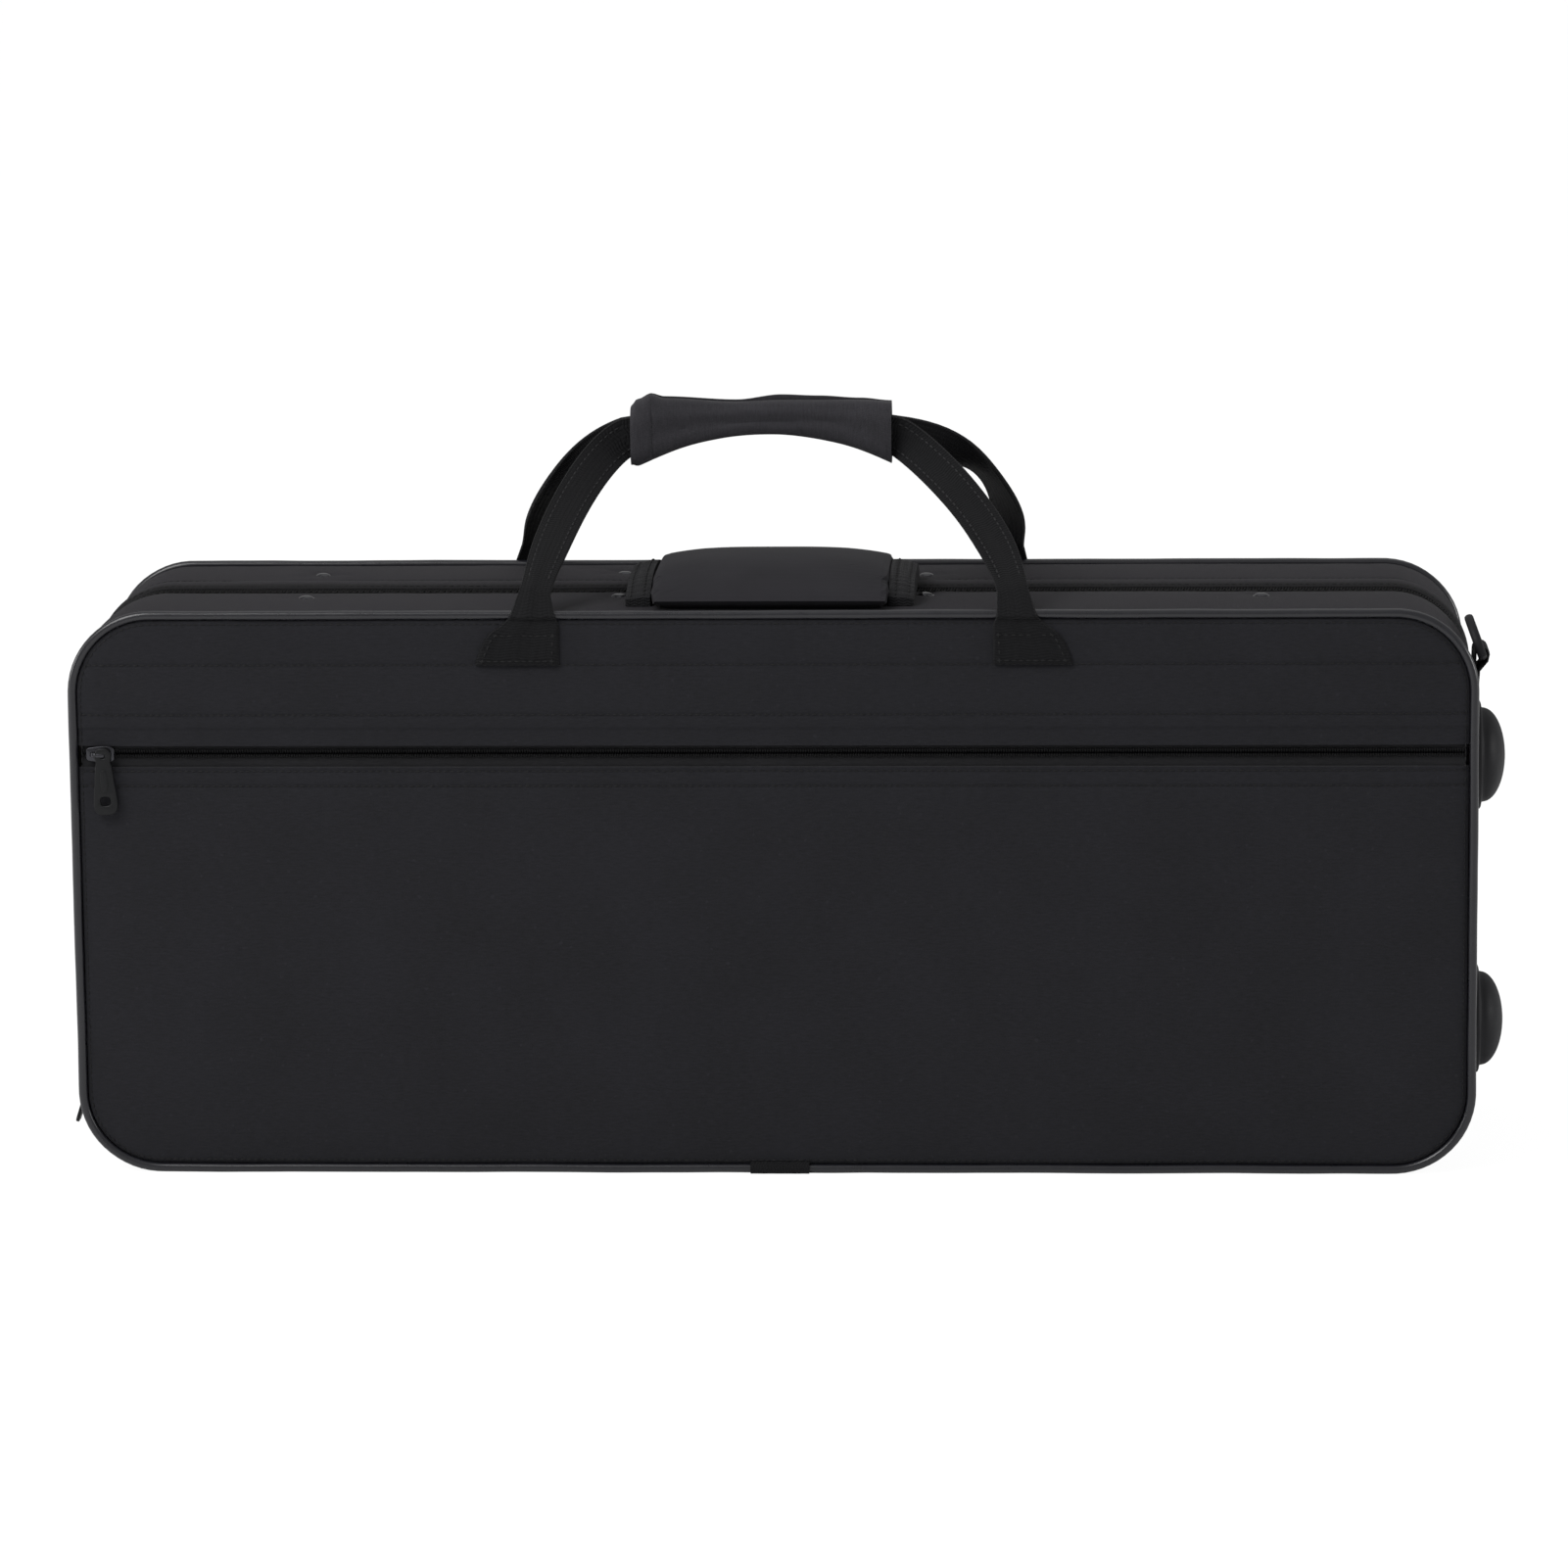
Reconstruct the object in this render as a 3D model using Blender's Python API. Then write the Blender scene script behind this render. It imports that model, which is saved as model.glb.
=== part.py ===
"""Soft box-shaped bag for an alto saxophone, as separate pieces in metres, +Z up.

The bag stands on its long edge with its front panel facing -Y. The lid is the front half,
hinged along the bottom edge, and the base is the back half.
"""

import math

import bmesh
import bpy
from mathutils import Matrix, Vector

for old_object in list(bpy.data.objects):
    bpy.data.objects.remove(old_object, do_unlink=True)

# Driving dimensions of the bag
bag_length = 0.640
bag_height = 0.261
bag_depth = 0.160
lid_depth = 0.076
corner_radius = 0.038
corner_steps = 8
clearance = 0.0003
overrun = 0.002

# Walls
piping_radius = 0.0021
gusset_recess = 0.0018
cloth = 0.0015
board = 0.006
lining = 0.0012
panel_step = 0.0012
lip_gap = 0.0004
insert_setback = 0.0025

# Main zipper
zipper_window = 0.0104
coil_slot = 0.0016
coil_width = 0.0026
coil_thickness = 0.0014
tape_width = 0.0082
tape_thickness = 0.0008
rebate_depth = 0.003
rebate_margin = 0.0005
edge_strip_width = 0.0208
edge_strip_rise = 0.0006

# Main sliders and their pulls
slider_length = 0.012
slider_width = 0.009
slider_face_rise = 0.0007
slider_face_thickness = 0.0015
slider_back_thickness = 0.001
slider_post = 0.001
arch_height = 0.0058
arch_length = 0.010
arch_width = 0.002
arch_bar = 0.0014
pull_length = 0.027
pull_width = 0.009
pull_thickness = 0.0016
pull_bar = 0.0018
pull_hole_length = 0.0048
pull_hole_width = 0.003
upper_slider_height = 0.080
lower_slider_angle = math.radians(5.0)
lower_pull_tilt = math.radians(17.0)

# Front pocket
pocket_space = 0.0053
pocket_panel_drop = 0.0717
pocket_tape_drop = 0.0621
pocket_tape_thickness = 0.0008
pocket_lower_tape_width = 0.0051
pocket_coil_width = 0.0018
pocket_coil_thickness = 0.001
pocket_zipper_inset = 0.006
pocket_slider_setback = 0.0145
pocket_slider_length = 0.012
pocket_slider_height = 0.0064
pocket_slider_plate = 0.0012
eye_radius = 0.0023
eye_bore = 0.00115
eye_length = 0.003
eye_bar = 0.0012
eye_offset = 0.0015
pocket_pull_width = 0.011

# Webbing handles and the wrap
strap_width = 0.018
strap_thickness = 0.0025
strap_steps = 12
strap_foot_offset = 0.003
patch_thickness = 0.0016
patch_height = 0.0245
patch_bottom_width = 0.033
patch_top_width = 0.023
grip_top_rise = 0.0880
grip_middle_height = 0.0180
grip_end_height = 0.0315
grip_fold_share = 0.53
grip_left = -0.069
grip_right = 0.056
grip_steps = 12
grip_strap_half_gap = 0.00105
front_foot_left = -0.1075
front_foot_right = 0.111
back_foot_left = -0.119
back_foot_right = 0.105
patch_lean = 0.0095
knee_share = 0.45
front_left_reach_shares = (0.15, 0.6)
front_right_reach_shares = (0.03, 0.85)
back_left_reach_shares = (0.1, 0.5)
back_right_reach_shares = (-0.12, 0.1)
front_left_drop = 0.0077
front_right_drop = 0.0035
back_left_drop = 0.0090
back_right_drop = 0.0060
front_twist = 0
back_left_twist = math.radians(20)
back_right_twist = math.radians(38)
wrap_wall = 0.0025
wrap_edge = 0.0025
wrap_ease = 0.001
wrap_setback = 0.003

# Top pad
pad_left = -0.057
pad_right = 0.0555
pad_front_reach = 0.070
pad_back_reach = 0.048
pad_height = 0.0189
pad_edge_share = 0.36
pad_crown_power = 3
pad_end_power = 8
pad_columns = 14
pad_rows = 12
pad_tab_width = 0.009
pad_tab_height = 0.0095
pad_tab_columns = 2
pad_tab_front_inset = 0.006
pad_tab_back_inset = 0.014

# Hard trim
foot_radius = 0.025
foot_flange = 0.004
foot_dome_radius = 0.0215
foot_dome_height = 0.0112
foot_dome_steps = 6
foot_setback = 0.038
upper_foot_drop = 0.073
lower_foot_height = 0.065
round_steps = 32
rivet_radius = 0.0037
rivet_height = 0.0016
rivet_dome_steps = 4
rivet_steps = 16
rivet_left_setback = 0.104
rivet_right_setback = 0.097
lid_rivet_pad_gaps = (0.015, 0.0135)
base_rivet_pad_gaps = (0.017, 0.0125)
lid_rivet_depths = (0.024, 0.0205, 0.018, 0.022)
base_rivet_depths = (0.019, 0.023, 0.016)
ring_wire = 0.0021
ring_half_width = 0.015
ring_steps = 16
ring_wall = 0.0014
right_ring_lean = math.radians(20.0)
ring_tab_half_width = 0.012
ring_tab_thickness = 0.0025
ring_tab_length = 0.0205
right_ring_drop = 0.025
right_ring_setback = 0.038
left_ring_drop = 0.054
left_ring_setback = 0.042
left_ring_lean = 0
piping_tab_left = -0.011
piping_tab_right = 0.016
piping_tab_height = 0.0045
piping_tab_thickness = 0.0008

# Hinge strip along the bottom
hinge_strip_end_gap = 0.045
hinge_strip_width = 0.020
hinge_strip_thickness = 0.0015

# Wells of the foam insert: the horn lies on its side, its bow at the right
well_floor = 0.0092
body_well_left_gap = 0.095
body_well_right_gap = 0.115
body_well_rise = 0.032
body_well_height = 0.090
bell_tube_gaps = (0.270, 0.110)
bell_tube_drops = (0.120, 0.042)
neck_bell_wall = 0.060
neck_well_drops = (0.109, 0.031)
accessory_well_gaps = (0.023, 0.075)
accessory_well_rise = 0.030
accessory_well_drop = 0.111
bow_end_gap = 0.025
bow_rise = 0.031
bow_drop = 0.040
bell_gap = 0.275
bell_drop = 0.089
bell_radius = 0.065
well_steps = 40
accessory_board = 0.004
accessory_ledge = 0.003

# Places worked out from the sizes above
half_length = bag_length / 2
front_y = -bag_depth / 2
back_y = bag_depth / 2
parting_y = front_y + lid_depth
window_half = zipper_window / 2
slot_half = coil_slot / 2
lip_half = lip_gap / 2
shell_inset = gusset_recess + cloth + clearance
rebate_inset = shell_inset + rebate_depth
shell_inner = shell_inset + board
lining_inset = shell_inner + clearance
lining_inner = lining_inset + lining
insert_inset = lining_inner + clearance
panel_inset = 2 * piping_radius + clearance
gusset_edge = panel_inset
panel_front = front_y + panel_step
pocket_back_front = panel_front + cloth + pocket_space
lid_floor = pocket_back_front + lining + clearance
panel_back = back_y - panel_step
base_floor = back_y - gusset_edge
tape_inset = shell_inset
coil_inset = tape_inset - clearance - coil_thickness
rebate_reach = slot_half + tape_width + rebate_margin
edge_strip_inset = gusset_recess - edge_strip_rise
edge_strip_front = parting_y + window_half
edge_strip_back = edge_strip_front + edge_strip_width
gusset_face = half_length - gusset_recess
gusset_top = bag_height - gusset_recess
pocket_panel_top = bag_height - pocket_panel_drop
pocket_tape_top = bag_height - pocket_tape_drop
pocket_zipper_half = half_length - pocket_zipper_inset
pocket_slider_x = pocket_slider_setback - half_length
upper_panel_bottom = pocket_tape_top + clearance
pocket_slot_bottom = pocket_panel_top + clearance + pocket_lower_tape_width
pocket_slot_top = pocket_slot_bottom + coil_slot
pocket_slider_z = (pocket_slot_bottom + pocket_slot_top) / 2
pocket_coil_front = panel_front - clearance / 3
pocket_coil_back = pocket_coil_front + pocket_coil_thickness
pocket_tape_front = pocket_coil_back + clearance
pocket_tape_back = pocket_tape_front + pocket_tape_thickness
grip_top = bag_height + grip_top_rise
pad_front = parting_y - pad_front_reach
pad_back = parting_y + pad_back_reach
foot_y = parting_y - foot_setback
foot_heights = (bag_height - upper_foot_drop, lower_foot_height)
rivet_left = rivet_left_setback - half_length
rivet_right = half_length - rivet_right_setback
lid_rivet_places = (rivet_left, pad_left - lid_rivet_pad_gaps[0], pad_right + lid_rivet_pad_gaps[1], rivet_right)
lid_rivets = [(x, parting_y - depth) for x, depth in zip(lid_rivet_places, lid_rivet_depths)]
base_rivet_places = (rivet_left, pad_left - base_rivet_pad_gaps[0], pad_right + base_rivet_pad_gaps[1])
base_rivets = [(x, edge_strip_back + depth) for x, depth in zip(base_rivet_places, base_rivet_depths)]
right_ring_height = bag_height - right_ring_drop
right_ring_y = parting_y - right_ring_setback
left_ring_height = bag_height - left_ring_drop
left_ring_y = parting_y + left_ring_setback
hinge_strip_half = half_length - hinge_strip_end_gap
body_well = ((body_well_left_gap - half_length, half_length - body_well_right_gap),
             (body_well_rise, body_well_rise + body_well_height))
bell_tube_well = ((half_length - bell_tube_gaps[0], half_length - bell_tube_gaps[1]),
                  (bag_height - bell_tube_drops[0], bag_height - bell_tube_drops[1]))
bow_radius = (bag_height - bow_rise - bow_drop) / 2
bow_centre = (half_length - bow_end_gap - bow_radius, bow_rise + bow_radius)
bell_centre = (half_length - bell_gap, bag_height - bell_drop)
neck_well = ((body_well_left_gap - half_length, bell_centre[0] - bell_radius - neck_bell_wall),
             (bag_height - neck_well_drops[0], bag_height - neck_well_drops[1]))
accessory_well = ((accessory_well_gaps[0] - half_length, accessory_well_gaps[1] - half_length),
                  (accessory_well_rise, bag_height - accessory_well_drop))


def srgb(red, green, blue):
    """Linear colour of an 8-bit colour."""
    return tuple((value / 255) ** 2.2 for value in (red, green, blue)) + (1.0,)


def finish(name, colour, roughness, metallic=0.0):
    """One Principled material."""
    material = bpy.data.materials.new(name)
    material.use_nodes = True
    shader = material.node_tree.nodes["Principled BSDF"]
    shader.inputs["Base Color"].default_value = colour
    shader.inputs["Roughness"].default_value = roughness
    shader.inputs["Metallic"].default_value = metallic
    material.diffuse_color = colour
    return material


panel_cloth = finish("panel_cloth", srgb(38, 38, 41), 0.85)
gusset_cloth = finish("gusset_cloth", srgb(56, 55, 58), 0.85)
wrap_cloth = finish("wrap_cloth", srgb(52, 51, 54), 0.85)
webbing = finish("webbing", srgb(29, 29, 31), 0.8)
piping_vinyl = finish("piping_vinyl", srgb(42, 42, 46), 0.45)
tape_cloth = finish("tape_cloth", srgb(44, 45, 47), 0.9)
coil_nylon = finish("coil_nylon", srgb(32, 32, 34), 0.5)
slider_metal = finish("slider_metal", srgb(46, 46, 48), 0.35, 1.0)
rivet_metal = finish("rivet_metal", srgb(70, 70, 72), 0.3, 1.0)
moulded_plastic = finish("moulded_plastic", srgb(34, 34, 36), 0.5)
shell_board = finish("shell_board", srgb(70, 66, 60), 0.9)
plush = finish("plush", srgb(48, 46, 50), 1.0)
foam = finish("foam", srgb(36, 36, 40), 0.95)


def place(name, mesh, material, location=(0, 0, 0), rotation=(0, 0, 0), parent=None):
    """Link one object that shows the mesh."""
    thing = bpy.data.objects.new(name, mesh)
    if not mesh.materials:
        mesh.materials.append(material)
    thing.location = location
    thing.rotation_euler = rotation
    thing.parent = parent
    bpy.context.scene.collection.objects.link(thing)
    return thing


def finished_mesh(name, shape, round_angle=None):
    """Turn a bmesh into a mesh with its faces out."""
    bmesh.ops.recalc_face_normals(shape, faces=shape.faces[:])
    mesh = bpy.data.meshes.new(name)
    shape.to_mesh(mesh)
    shape.free()
    if round_angle is not None:
        mesh.shade_smooth()
        mesh.set_sharp_from_angle(angle=round_angle)
    return mesh


round_shading = math.radians(40.0)


def joint_empty(name, location, rotation=(0, 0, 0)):
    """A guide on a joint's axis, which carries moving pieces."""
    empty = bpy.data.objects.new(name, None)
    empty.location = location
    empty.rotation_euler = rotation
    bpy.context.scene.collection.objects.link(empty)
    return empty


def arc(centre_x, centre_z, radius, start, stop, steps=corner_steps):
    """Points of a round stretch, from one angle in degrees to another."""
    points = []
    for step in range(steps + 1):
        angle = math.radians(start + (stop - start) * step / steps)
        points.append((centre_x + radius * math.cos(angle), centre_z + radius * math.sin(angle)))
    return points


arc_x = half_length - corner_radius
arc_top = bag_height - corner_radius


def outline(inset):
    """The bag's rounded front outline, from its bottom left up and round to its bottom right."""
    radius = corner_radius - inset
    points = arc(-arc_x, corner_radius, radius, 270, 180)
    points += arc(-arc_x, arc_top, radius, 180, 90)
    points += arc(arc_x, arc_top, radius, 90, 0)
    points += arc(arc_x, corner_radius, radius, 0, -90)
    return points


def outline_below(inset, top):
    """The part of the outline under a height on its straight ends."""
    radius = corner_radius - inset
    points = arc(-arc_x, corner_radius, radius, 270, 180)
    points += [(-half_length + inset, top), (half_length - inset, top)]
    points += arc(arc_x, corner_radius, radius, 0, -90)
    return points


def outline_above(inset, bottom):
    """The part of the outline over a height on its straight ends."""
    radius = corner_radius - inset
    points = [(-half_length + inset, bottom)]
    points += arc(-arc_x, arc_top, radius, 180, 90)
    points += arc(arc_x, arc_top, radius, 90, 0)
    points += [(half_length - inset, bottom)]
    return points


def bridge_rings(shape, first, second, closed):
    """Faces between two rings of points."""
    count = len(first)
    for index in range(count if closed else count - 1):
        after = (index + 1) % count
        shape.faces.new((first[index], first[after], second[after], second[index]))


def swept_mesh(name, section, ring_closed, section_closed):
    """Carry a section of (inset, y) points round the outline."""
    shape = bmesh.new()
    rings = [[shape.verts.new((x, y, z)) for x, z in outline(inset)] for inset, y in section]
    following = rings[1:] + rings[:1] if section_closed else rings[1:]
    for first, second in zip(rings, following):
        bridge_rings(shape, first, second, ring_closed)
    if not section_closed:
        shape.faces.new(rings[0])
        shape.faces.new(rings[-1])
    elif not ring_closed:
        shape.faces.new([ring[0] for ring in rings])
        shape.faces.new([ring[-1] for ring in rings])
    return finished_mesh(name, shape, round_shading)


def band(name, material, inset, thickness, near_y, far_y, ring_closed=True):
    """A flat band round the outline, all the way or open along the bottom."""
    section = [(inset, near_y), (inset, far_y), (inset + thickness, far_y), (inset + thickness, near_y)]
    return place(name, swept_mesh(name, section, ring_closed, True), material)


def tray(name, material, section):
    """A tray whose section runs from its outer floor over its lip to its inner floor."""
    return place(name, swept_mesh(name, section, True, False), material)


def plate_mesh(name, points, near_y, far_y):
    """A flat shape of (x, z) points with thickness along Y."""
    shape = bmesh.new()
    near = [shape.verts.new((x, near_y, z)) for x, z in points]
    far = [shape.verts.new((x, far_y, z)) for x, z in points]
    bridge_rings(shape, near, far, True)
    shape.faces.new(near)
    shape.faces.new(far)
    return finished_mesh(name, shape, round_shading)


def plate(name, material, points, near_y, far_y):
    """An object with a flat shape and thickness along Y."""
    return place(name, plate_mesh(name, points, near_y, far_y), material)


def box_points(x_range, z_range):
    """Corners of an upright rectangle."""
    left, right = x_range
    bottom, top = z_range
    return [(left, bottom), (left, top), (right, top), (right, bottom)]


def box(name, material, x_range, y_range, z_range):
    """A rectangular block."""
    return plate(name, material, box_points(x_range, z_range), y_range[0], y_range[1])


def rod(name, material, points, radius, location=(0, 0, 0), rotation=(0, 0, 0), parent=None):
    """A closed ring of round rod along the points."""
    curve = bpy.data.curves.new(name, "CURVE")
    curve.dimensions = "3D"
    curve.bevel_depth = radius
    curve.bevel_resolution = 2
    spline = curve.splines.new("POLY")
    spline.points.add(len(points) - 1)
    for point, position in zip(spline.points, points):
        point.co = (*position, 1.0)
    spline.use_cyclic_u = True
    return place(name, curve, material, location, rotation, parent)


def turned_mesh(name, profile, steps):
    """Spin (radius, height) points round local Z; the first and last lie on the axis."""
    shape = bmesh.new()
    start = shape.verts.new((0, 0, profile[0][1]))
    stop = shape.verts.new((0, 0, profile[-1][1]))
    rings = []
    for radius, height in profile[1:-1]:
        ring = []
        for step in range(steps):
            angle = 2 * math.pi * step / steps
            ring.append(shape.verts.new((radius * math.cos(angle), radius * math.sin(angle), height)))
        rings.append(ring)
    for first, second in zip(rings, rings[1:]):
        bridge_rings(shape, first, second, True)
    for step in range(steps):
        after = (step + 1) % steps
        shape.faces.new((start, rings[0][step], rings[0][after]))
        shape.faces.new((stop, rings[-1][step], rings[-1][after]))
    return finished_mesh(name, shape, round_shading)


def cylinder(name, radius, half_span, axis, centre):
    """A round solid along a row axis, used to join or cut."""
    mesh = turned_mesh(name, [(0, -half_span), (radius, -half_span), (radius, half_span), (0, half_span)],
                       round_steps)
    turn = {"X": (0, math.pi / 2, 0), "Y": (math.pi / 2, 0, 0)}[axis]
    return place(name, mesh, moulded_plastic, centre, turn)


def boolean(thing, other, operation):
    """Join another solid to an object or cut it out."""
    modifier = thing.modifiers.new(other.name, "BOOLEAN")
    modifier.operation = operation
    modifier.object = other
    modifier.solver = "EXACT"


def carved_mesh(solids, cutters):
    """Join the solids, take the cutters out and keep the mesh alone."""
    body = solids[0]
    for other in solids[1:]:
        boolean(body, other, "UNION")
    for cutter in cutters:
        boolean(body, cutter, "DIFFERENCE")
    bpy.context.view_layer.update()
    graph = bpy.context.evaluated_depsgraph_get()
    mesh = bpy.data.meshes.new_from_object(body.evaluated_get(graph))
    mesh.transform(body.matrix_world)
    mesh.materials.clear()
    for used in solids + cutters:
        bpy.data.objects.remove(used, do_unlink=True)
    return mesh


# Lid walls
def build_lid_walls():
    """Gusset cloth, stiff shell and lining of the front half."""
    band("lid_gusset", gusset_cloth, gusset_recess, cloth, front_y + gusset_edge, parting_y - window_half)
    rebate_y = parting_y - rebate_reach
    lip_y = parting_y - lip_half
    inner_floor = lid_floor + board
    tray("lid_shell", shell_board, [
        (shell_inset, lid_floor), (shell_inset, rebate_y), (rebate_inset, rebate_y),
        (rebate_inset, lip_y), (shell_inner, lip_y), (shell_inner, inner_floor)])
    lining_floor = inner_floor + clearance
    tray("lid_lining", plush, [
        (lining_inset, lining_floor), (lining_inset, lip_y), (lining_inner, lip_y),
        (lining_inner, lining_floor + lining)])


# Base walls
def build_base_walls():
    """Gusset cloth, edge strip, stiff shell and lining of the back half."""
    band("base_edge_strip", gusset_cloth, edge_strip_inset, cloth + edge_strip_rise,
         edge_strip_front, edge_strip_back, ring_closed=False)
    band("base_gusset", gusset_cloth, gusset_recess, cloth, edge_strip_back + clearance,
         back_y - gusset_edge)
    rebate_y = parting_y + rebate_reach
    lip_y = parting_y + lip_half
    inner_floor = base_floor - board
    tray("base_shell", shell_board, [
        (shell_inset, base_floor), (shell_inset, rebate_y), (rebate_inset, rebate_y),
        (rebate_inset, lip_y), (shell_inner, lip_y), (shell_inner, inner_floor)])
    lining_floor = inner_floor - clearance
    tray("base_lining", plush, [
        (lining_inset, lining_floor), (lining_inset, lip_y), (lining_inner, lip_y),
        (lining_inner, lining_floor - lining)])
    plate("back_panel", panel_cloth, outline(panel_inset), base_floor + clearance, panel_back)


# Piping rings, each with the tab over its join
def build_piping(name, side):
    """One vinyl ring round the outer edge of a panel."""
    centre_y = side * (bag_depth / 2 - piping_radius)
    points = [(x, centre_y, z) for x, z in outline(piping_radius)]
    rod(name, piping_vinyl, points, piping_radius)
    near_y = side * (bag_depth / 2 + clearance)
    far_y = near_y + side * piping_tab_thickness
    box(name + "_tab", webbing, (piping_tab_left, piping_tab_right), (near_y, far_y),
        (0, piping_tab_height))


# Cloth hinge along the bottom edge
def build_hinge_strips():
    """The strip is one cloth; it is parted on the hinge line here."""
    for name, side, width in (("hinge_strip_lid", -1, hinge_strip_width),
                              ("hinge_strip_base", 1, edge_strip_back - parting_y)):
        near_y = parting_y + side * clearance / 2
        far_y = parting_y + side * width
        box(name, tape_cloth, (-hinge_strip_half, hinge_strip_half), (near_y, far_y),
            (0, hinge_strip_thickness))


# Main zipper
def build_zipper(half_name, side):
    """Tape and coil of one half, open along the bottom."""
    near_y = parting_y + side * slot_half
    band("zipper_tape_" + half_name, tape_cloth, tape_inset, tape_thickness, near_y,
         near_y + side * tape_width, ring_closed=False)
    band("zipper_coil_" + half_name, coil_nylon, coil_inset, coil_thickness, near_y,
         near_y + side * coil_width, ring_closed=False)


slider_face_out = slider_face_rise
slider_face_in = slider_face_rise - slider_face_thickness
slider_back_in = -(rebate_inset - clearance)
slider_back_out = slider_back_in + slider_back_thickness
arch_out = slider_face_out + arch_height + arch_bar
pull_axis_out = slider_face_out + arch_height - pull_thickness
pull_axis_down = -(arch_length / 2 - arch_bar - pull_bar / 2 - 2 * clearance)


def slider_mesh():
    """Two plates, a post and an arch; local -X points out of the bag and Z runs along the zipper."""
    half_width = slider_width / 2
    half_post = slider_post / 2
    half_arch = arch_width / 2
    span = (-slider_length / 2, slider_length / 2)
    face = box("slider_face", slider_metal, (-slider_face_out, -slider_face_in),
               (-half_width, half_width), span)
    post = box("slider_post", slider_metal, (-slider_face_in - clearance, -slider_back_out + clearance),
               (-half_post, half_post), (span[0] + overrun, span[1] - overrun))
    back = box("slider_back", slider_metal, (-slider_back_out, -slider_back_in),
               (-half_width, half_width), span)
    arch = box("slider_arch", slider_metal, (-arch_out, -slider_face_in - clearance),
               (-half_arch, half_arch), (-arch_length / 2, arch_length / 2))
    hole = box("slider_arch_hole", slider_metal, (-slider_face_out - arch_height, -slider_face_out),
               (-arch_width, arch_width), (-arch_length / 2 + arch_bar, arch_length / 2 - arch_bar))
    arch_shape = place("slider_arch_cut", carved_mesh([arch], [hole]), slider_metal)
    return carved_mesh([face, post, back, arch_shape], [])


def pull_mesh():
    """A flat pull that hangs from its top bar, with the bar's middle at the origin."""
    top = pull_bar / 2
    body = box("pull_body", slider_metal, (-pull_thickness / 2, pull_thickness / 2),
               (-pull_width / 2, pull_width / 2), (top - pull_length, top))
    hole = box("pull_hole", slider_metal, (-pull_thickness, pull_thickness),
               (-pull_hole_width / 2, pull_hole_width / 2), (-top - pull_hole_length, -top))
    return carved_mesh([body], [hole])


def build_main_sliders():
    """Both sliders stand low on the left end; the lower one is on the corner's arc."""
    slider = slider_mesh()
    pull = pull_mesh()
    place("upper_slider", slider, slider_metal, (-half_length, parting_y, upper_slider_height))
    place("upper_pull", pull, slider_metal,
          (-half_length - pull_axis_out, parting_y, upper_slider_height + pull_axis_down))
    carriage = joint_empty("lower_slider_axis", (-arc_x, parting_y, corner_radius),
                           (0, -lower_slider_angle, 0))
    place("lower_slider", slider, slider_metal, (-corner_radius, 0, 0), parent=carriage)
    place("lower_pull", pull, slider_metal, (-corner_radius - pull_axis_out, 0, pull_axis_down),
          (0, lower_slider_angle + lower_pull_tilt, 0), parent=carriage)


# Front panels and the pocket between them and the shell
def build_front():
    """Pocket, its zipper rows and the padded panel above it."""
    plate("pocket_back", plush, outline(panel_inset), pocket_back_front, pocket_back_front + lining)
    plate("upper_panel", panel_cloth, outline_above(panel_inset, upper_panel_bottom),
          panel_front, pocket_back_front - clearance)
    plate("pocket_panel", panel_cloth, outline_below(panel_inset, pocket_panel_top),
          panel_front, panel_front + cloth)
    span = (-pocket_zipper_half, pocket_zipper_half)
    tape_y = (pocket_tape_front, pocket_tape_back)
    coil_y = (pocket_coil_front, pocket_coil_back)
    box("pocket_tape_upper", tape_cloth, span, tape_y, (pocket_slot_top, pocket_tape_top))
    box("pocket_tape_lower", tape_cloth, span, tape_y,
        (pocket_panel_top + clearance, pocket_slot_bottom))
    box("pocket_coil_upper", coil_nylon, span, coil_y,
        (pocket_slot_top, pocket_slot_top + pocket_coil_width))
    box("pocket_coil_lower", coil_nylon, span, coil_y,
        (pocket_slot_bottom - pocket_coil_width, pocket_slot_bottom))


pocket_face_back = pocket_coil_front - clearance
pocket_face_front = pocket_face_back - pocket_slider_plate
pocket_plate_front = pocket_tape_back + clearance
eye_axis_y = pocket_face_front - clearance - eye_radius
eye_bar_front = eye_axis_y - eye_bar / 2


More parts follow.
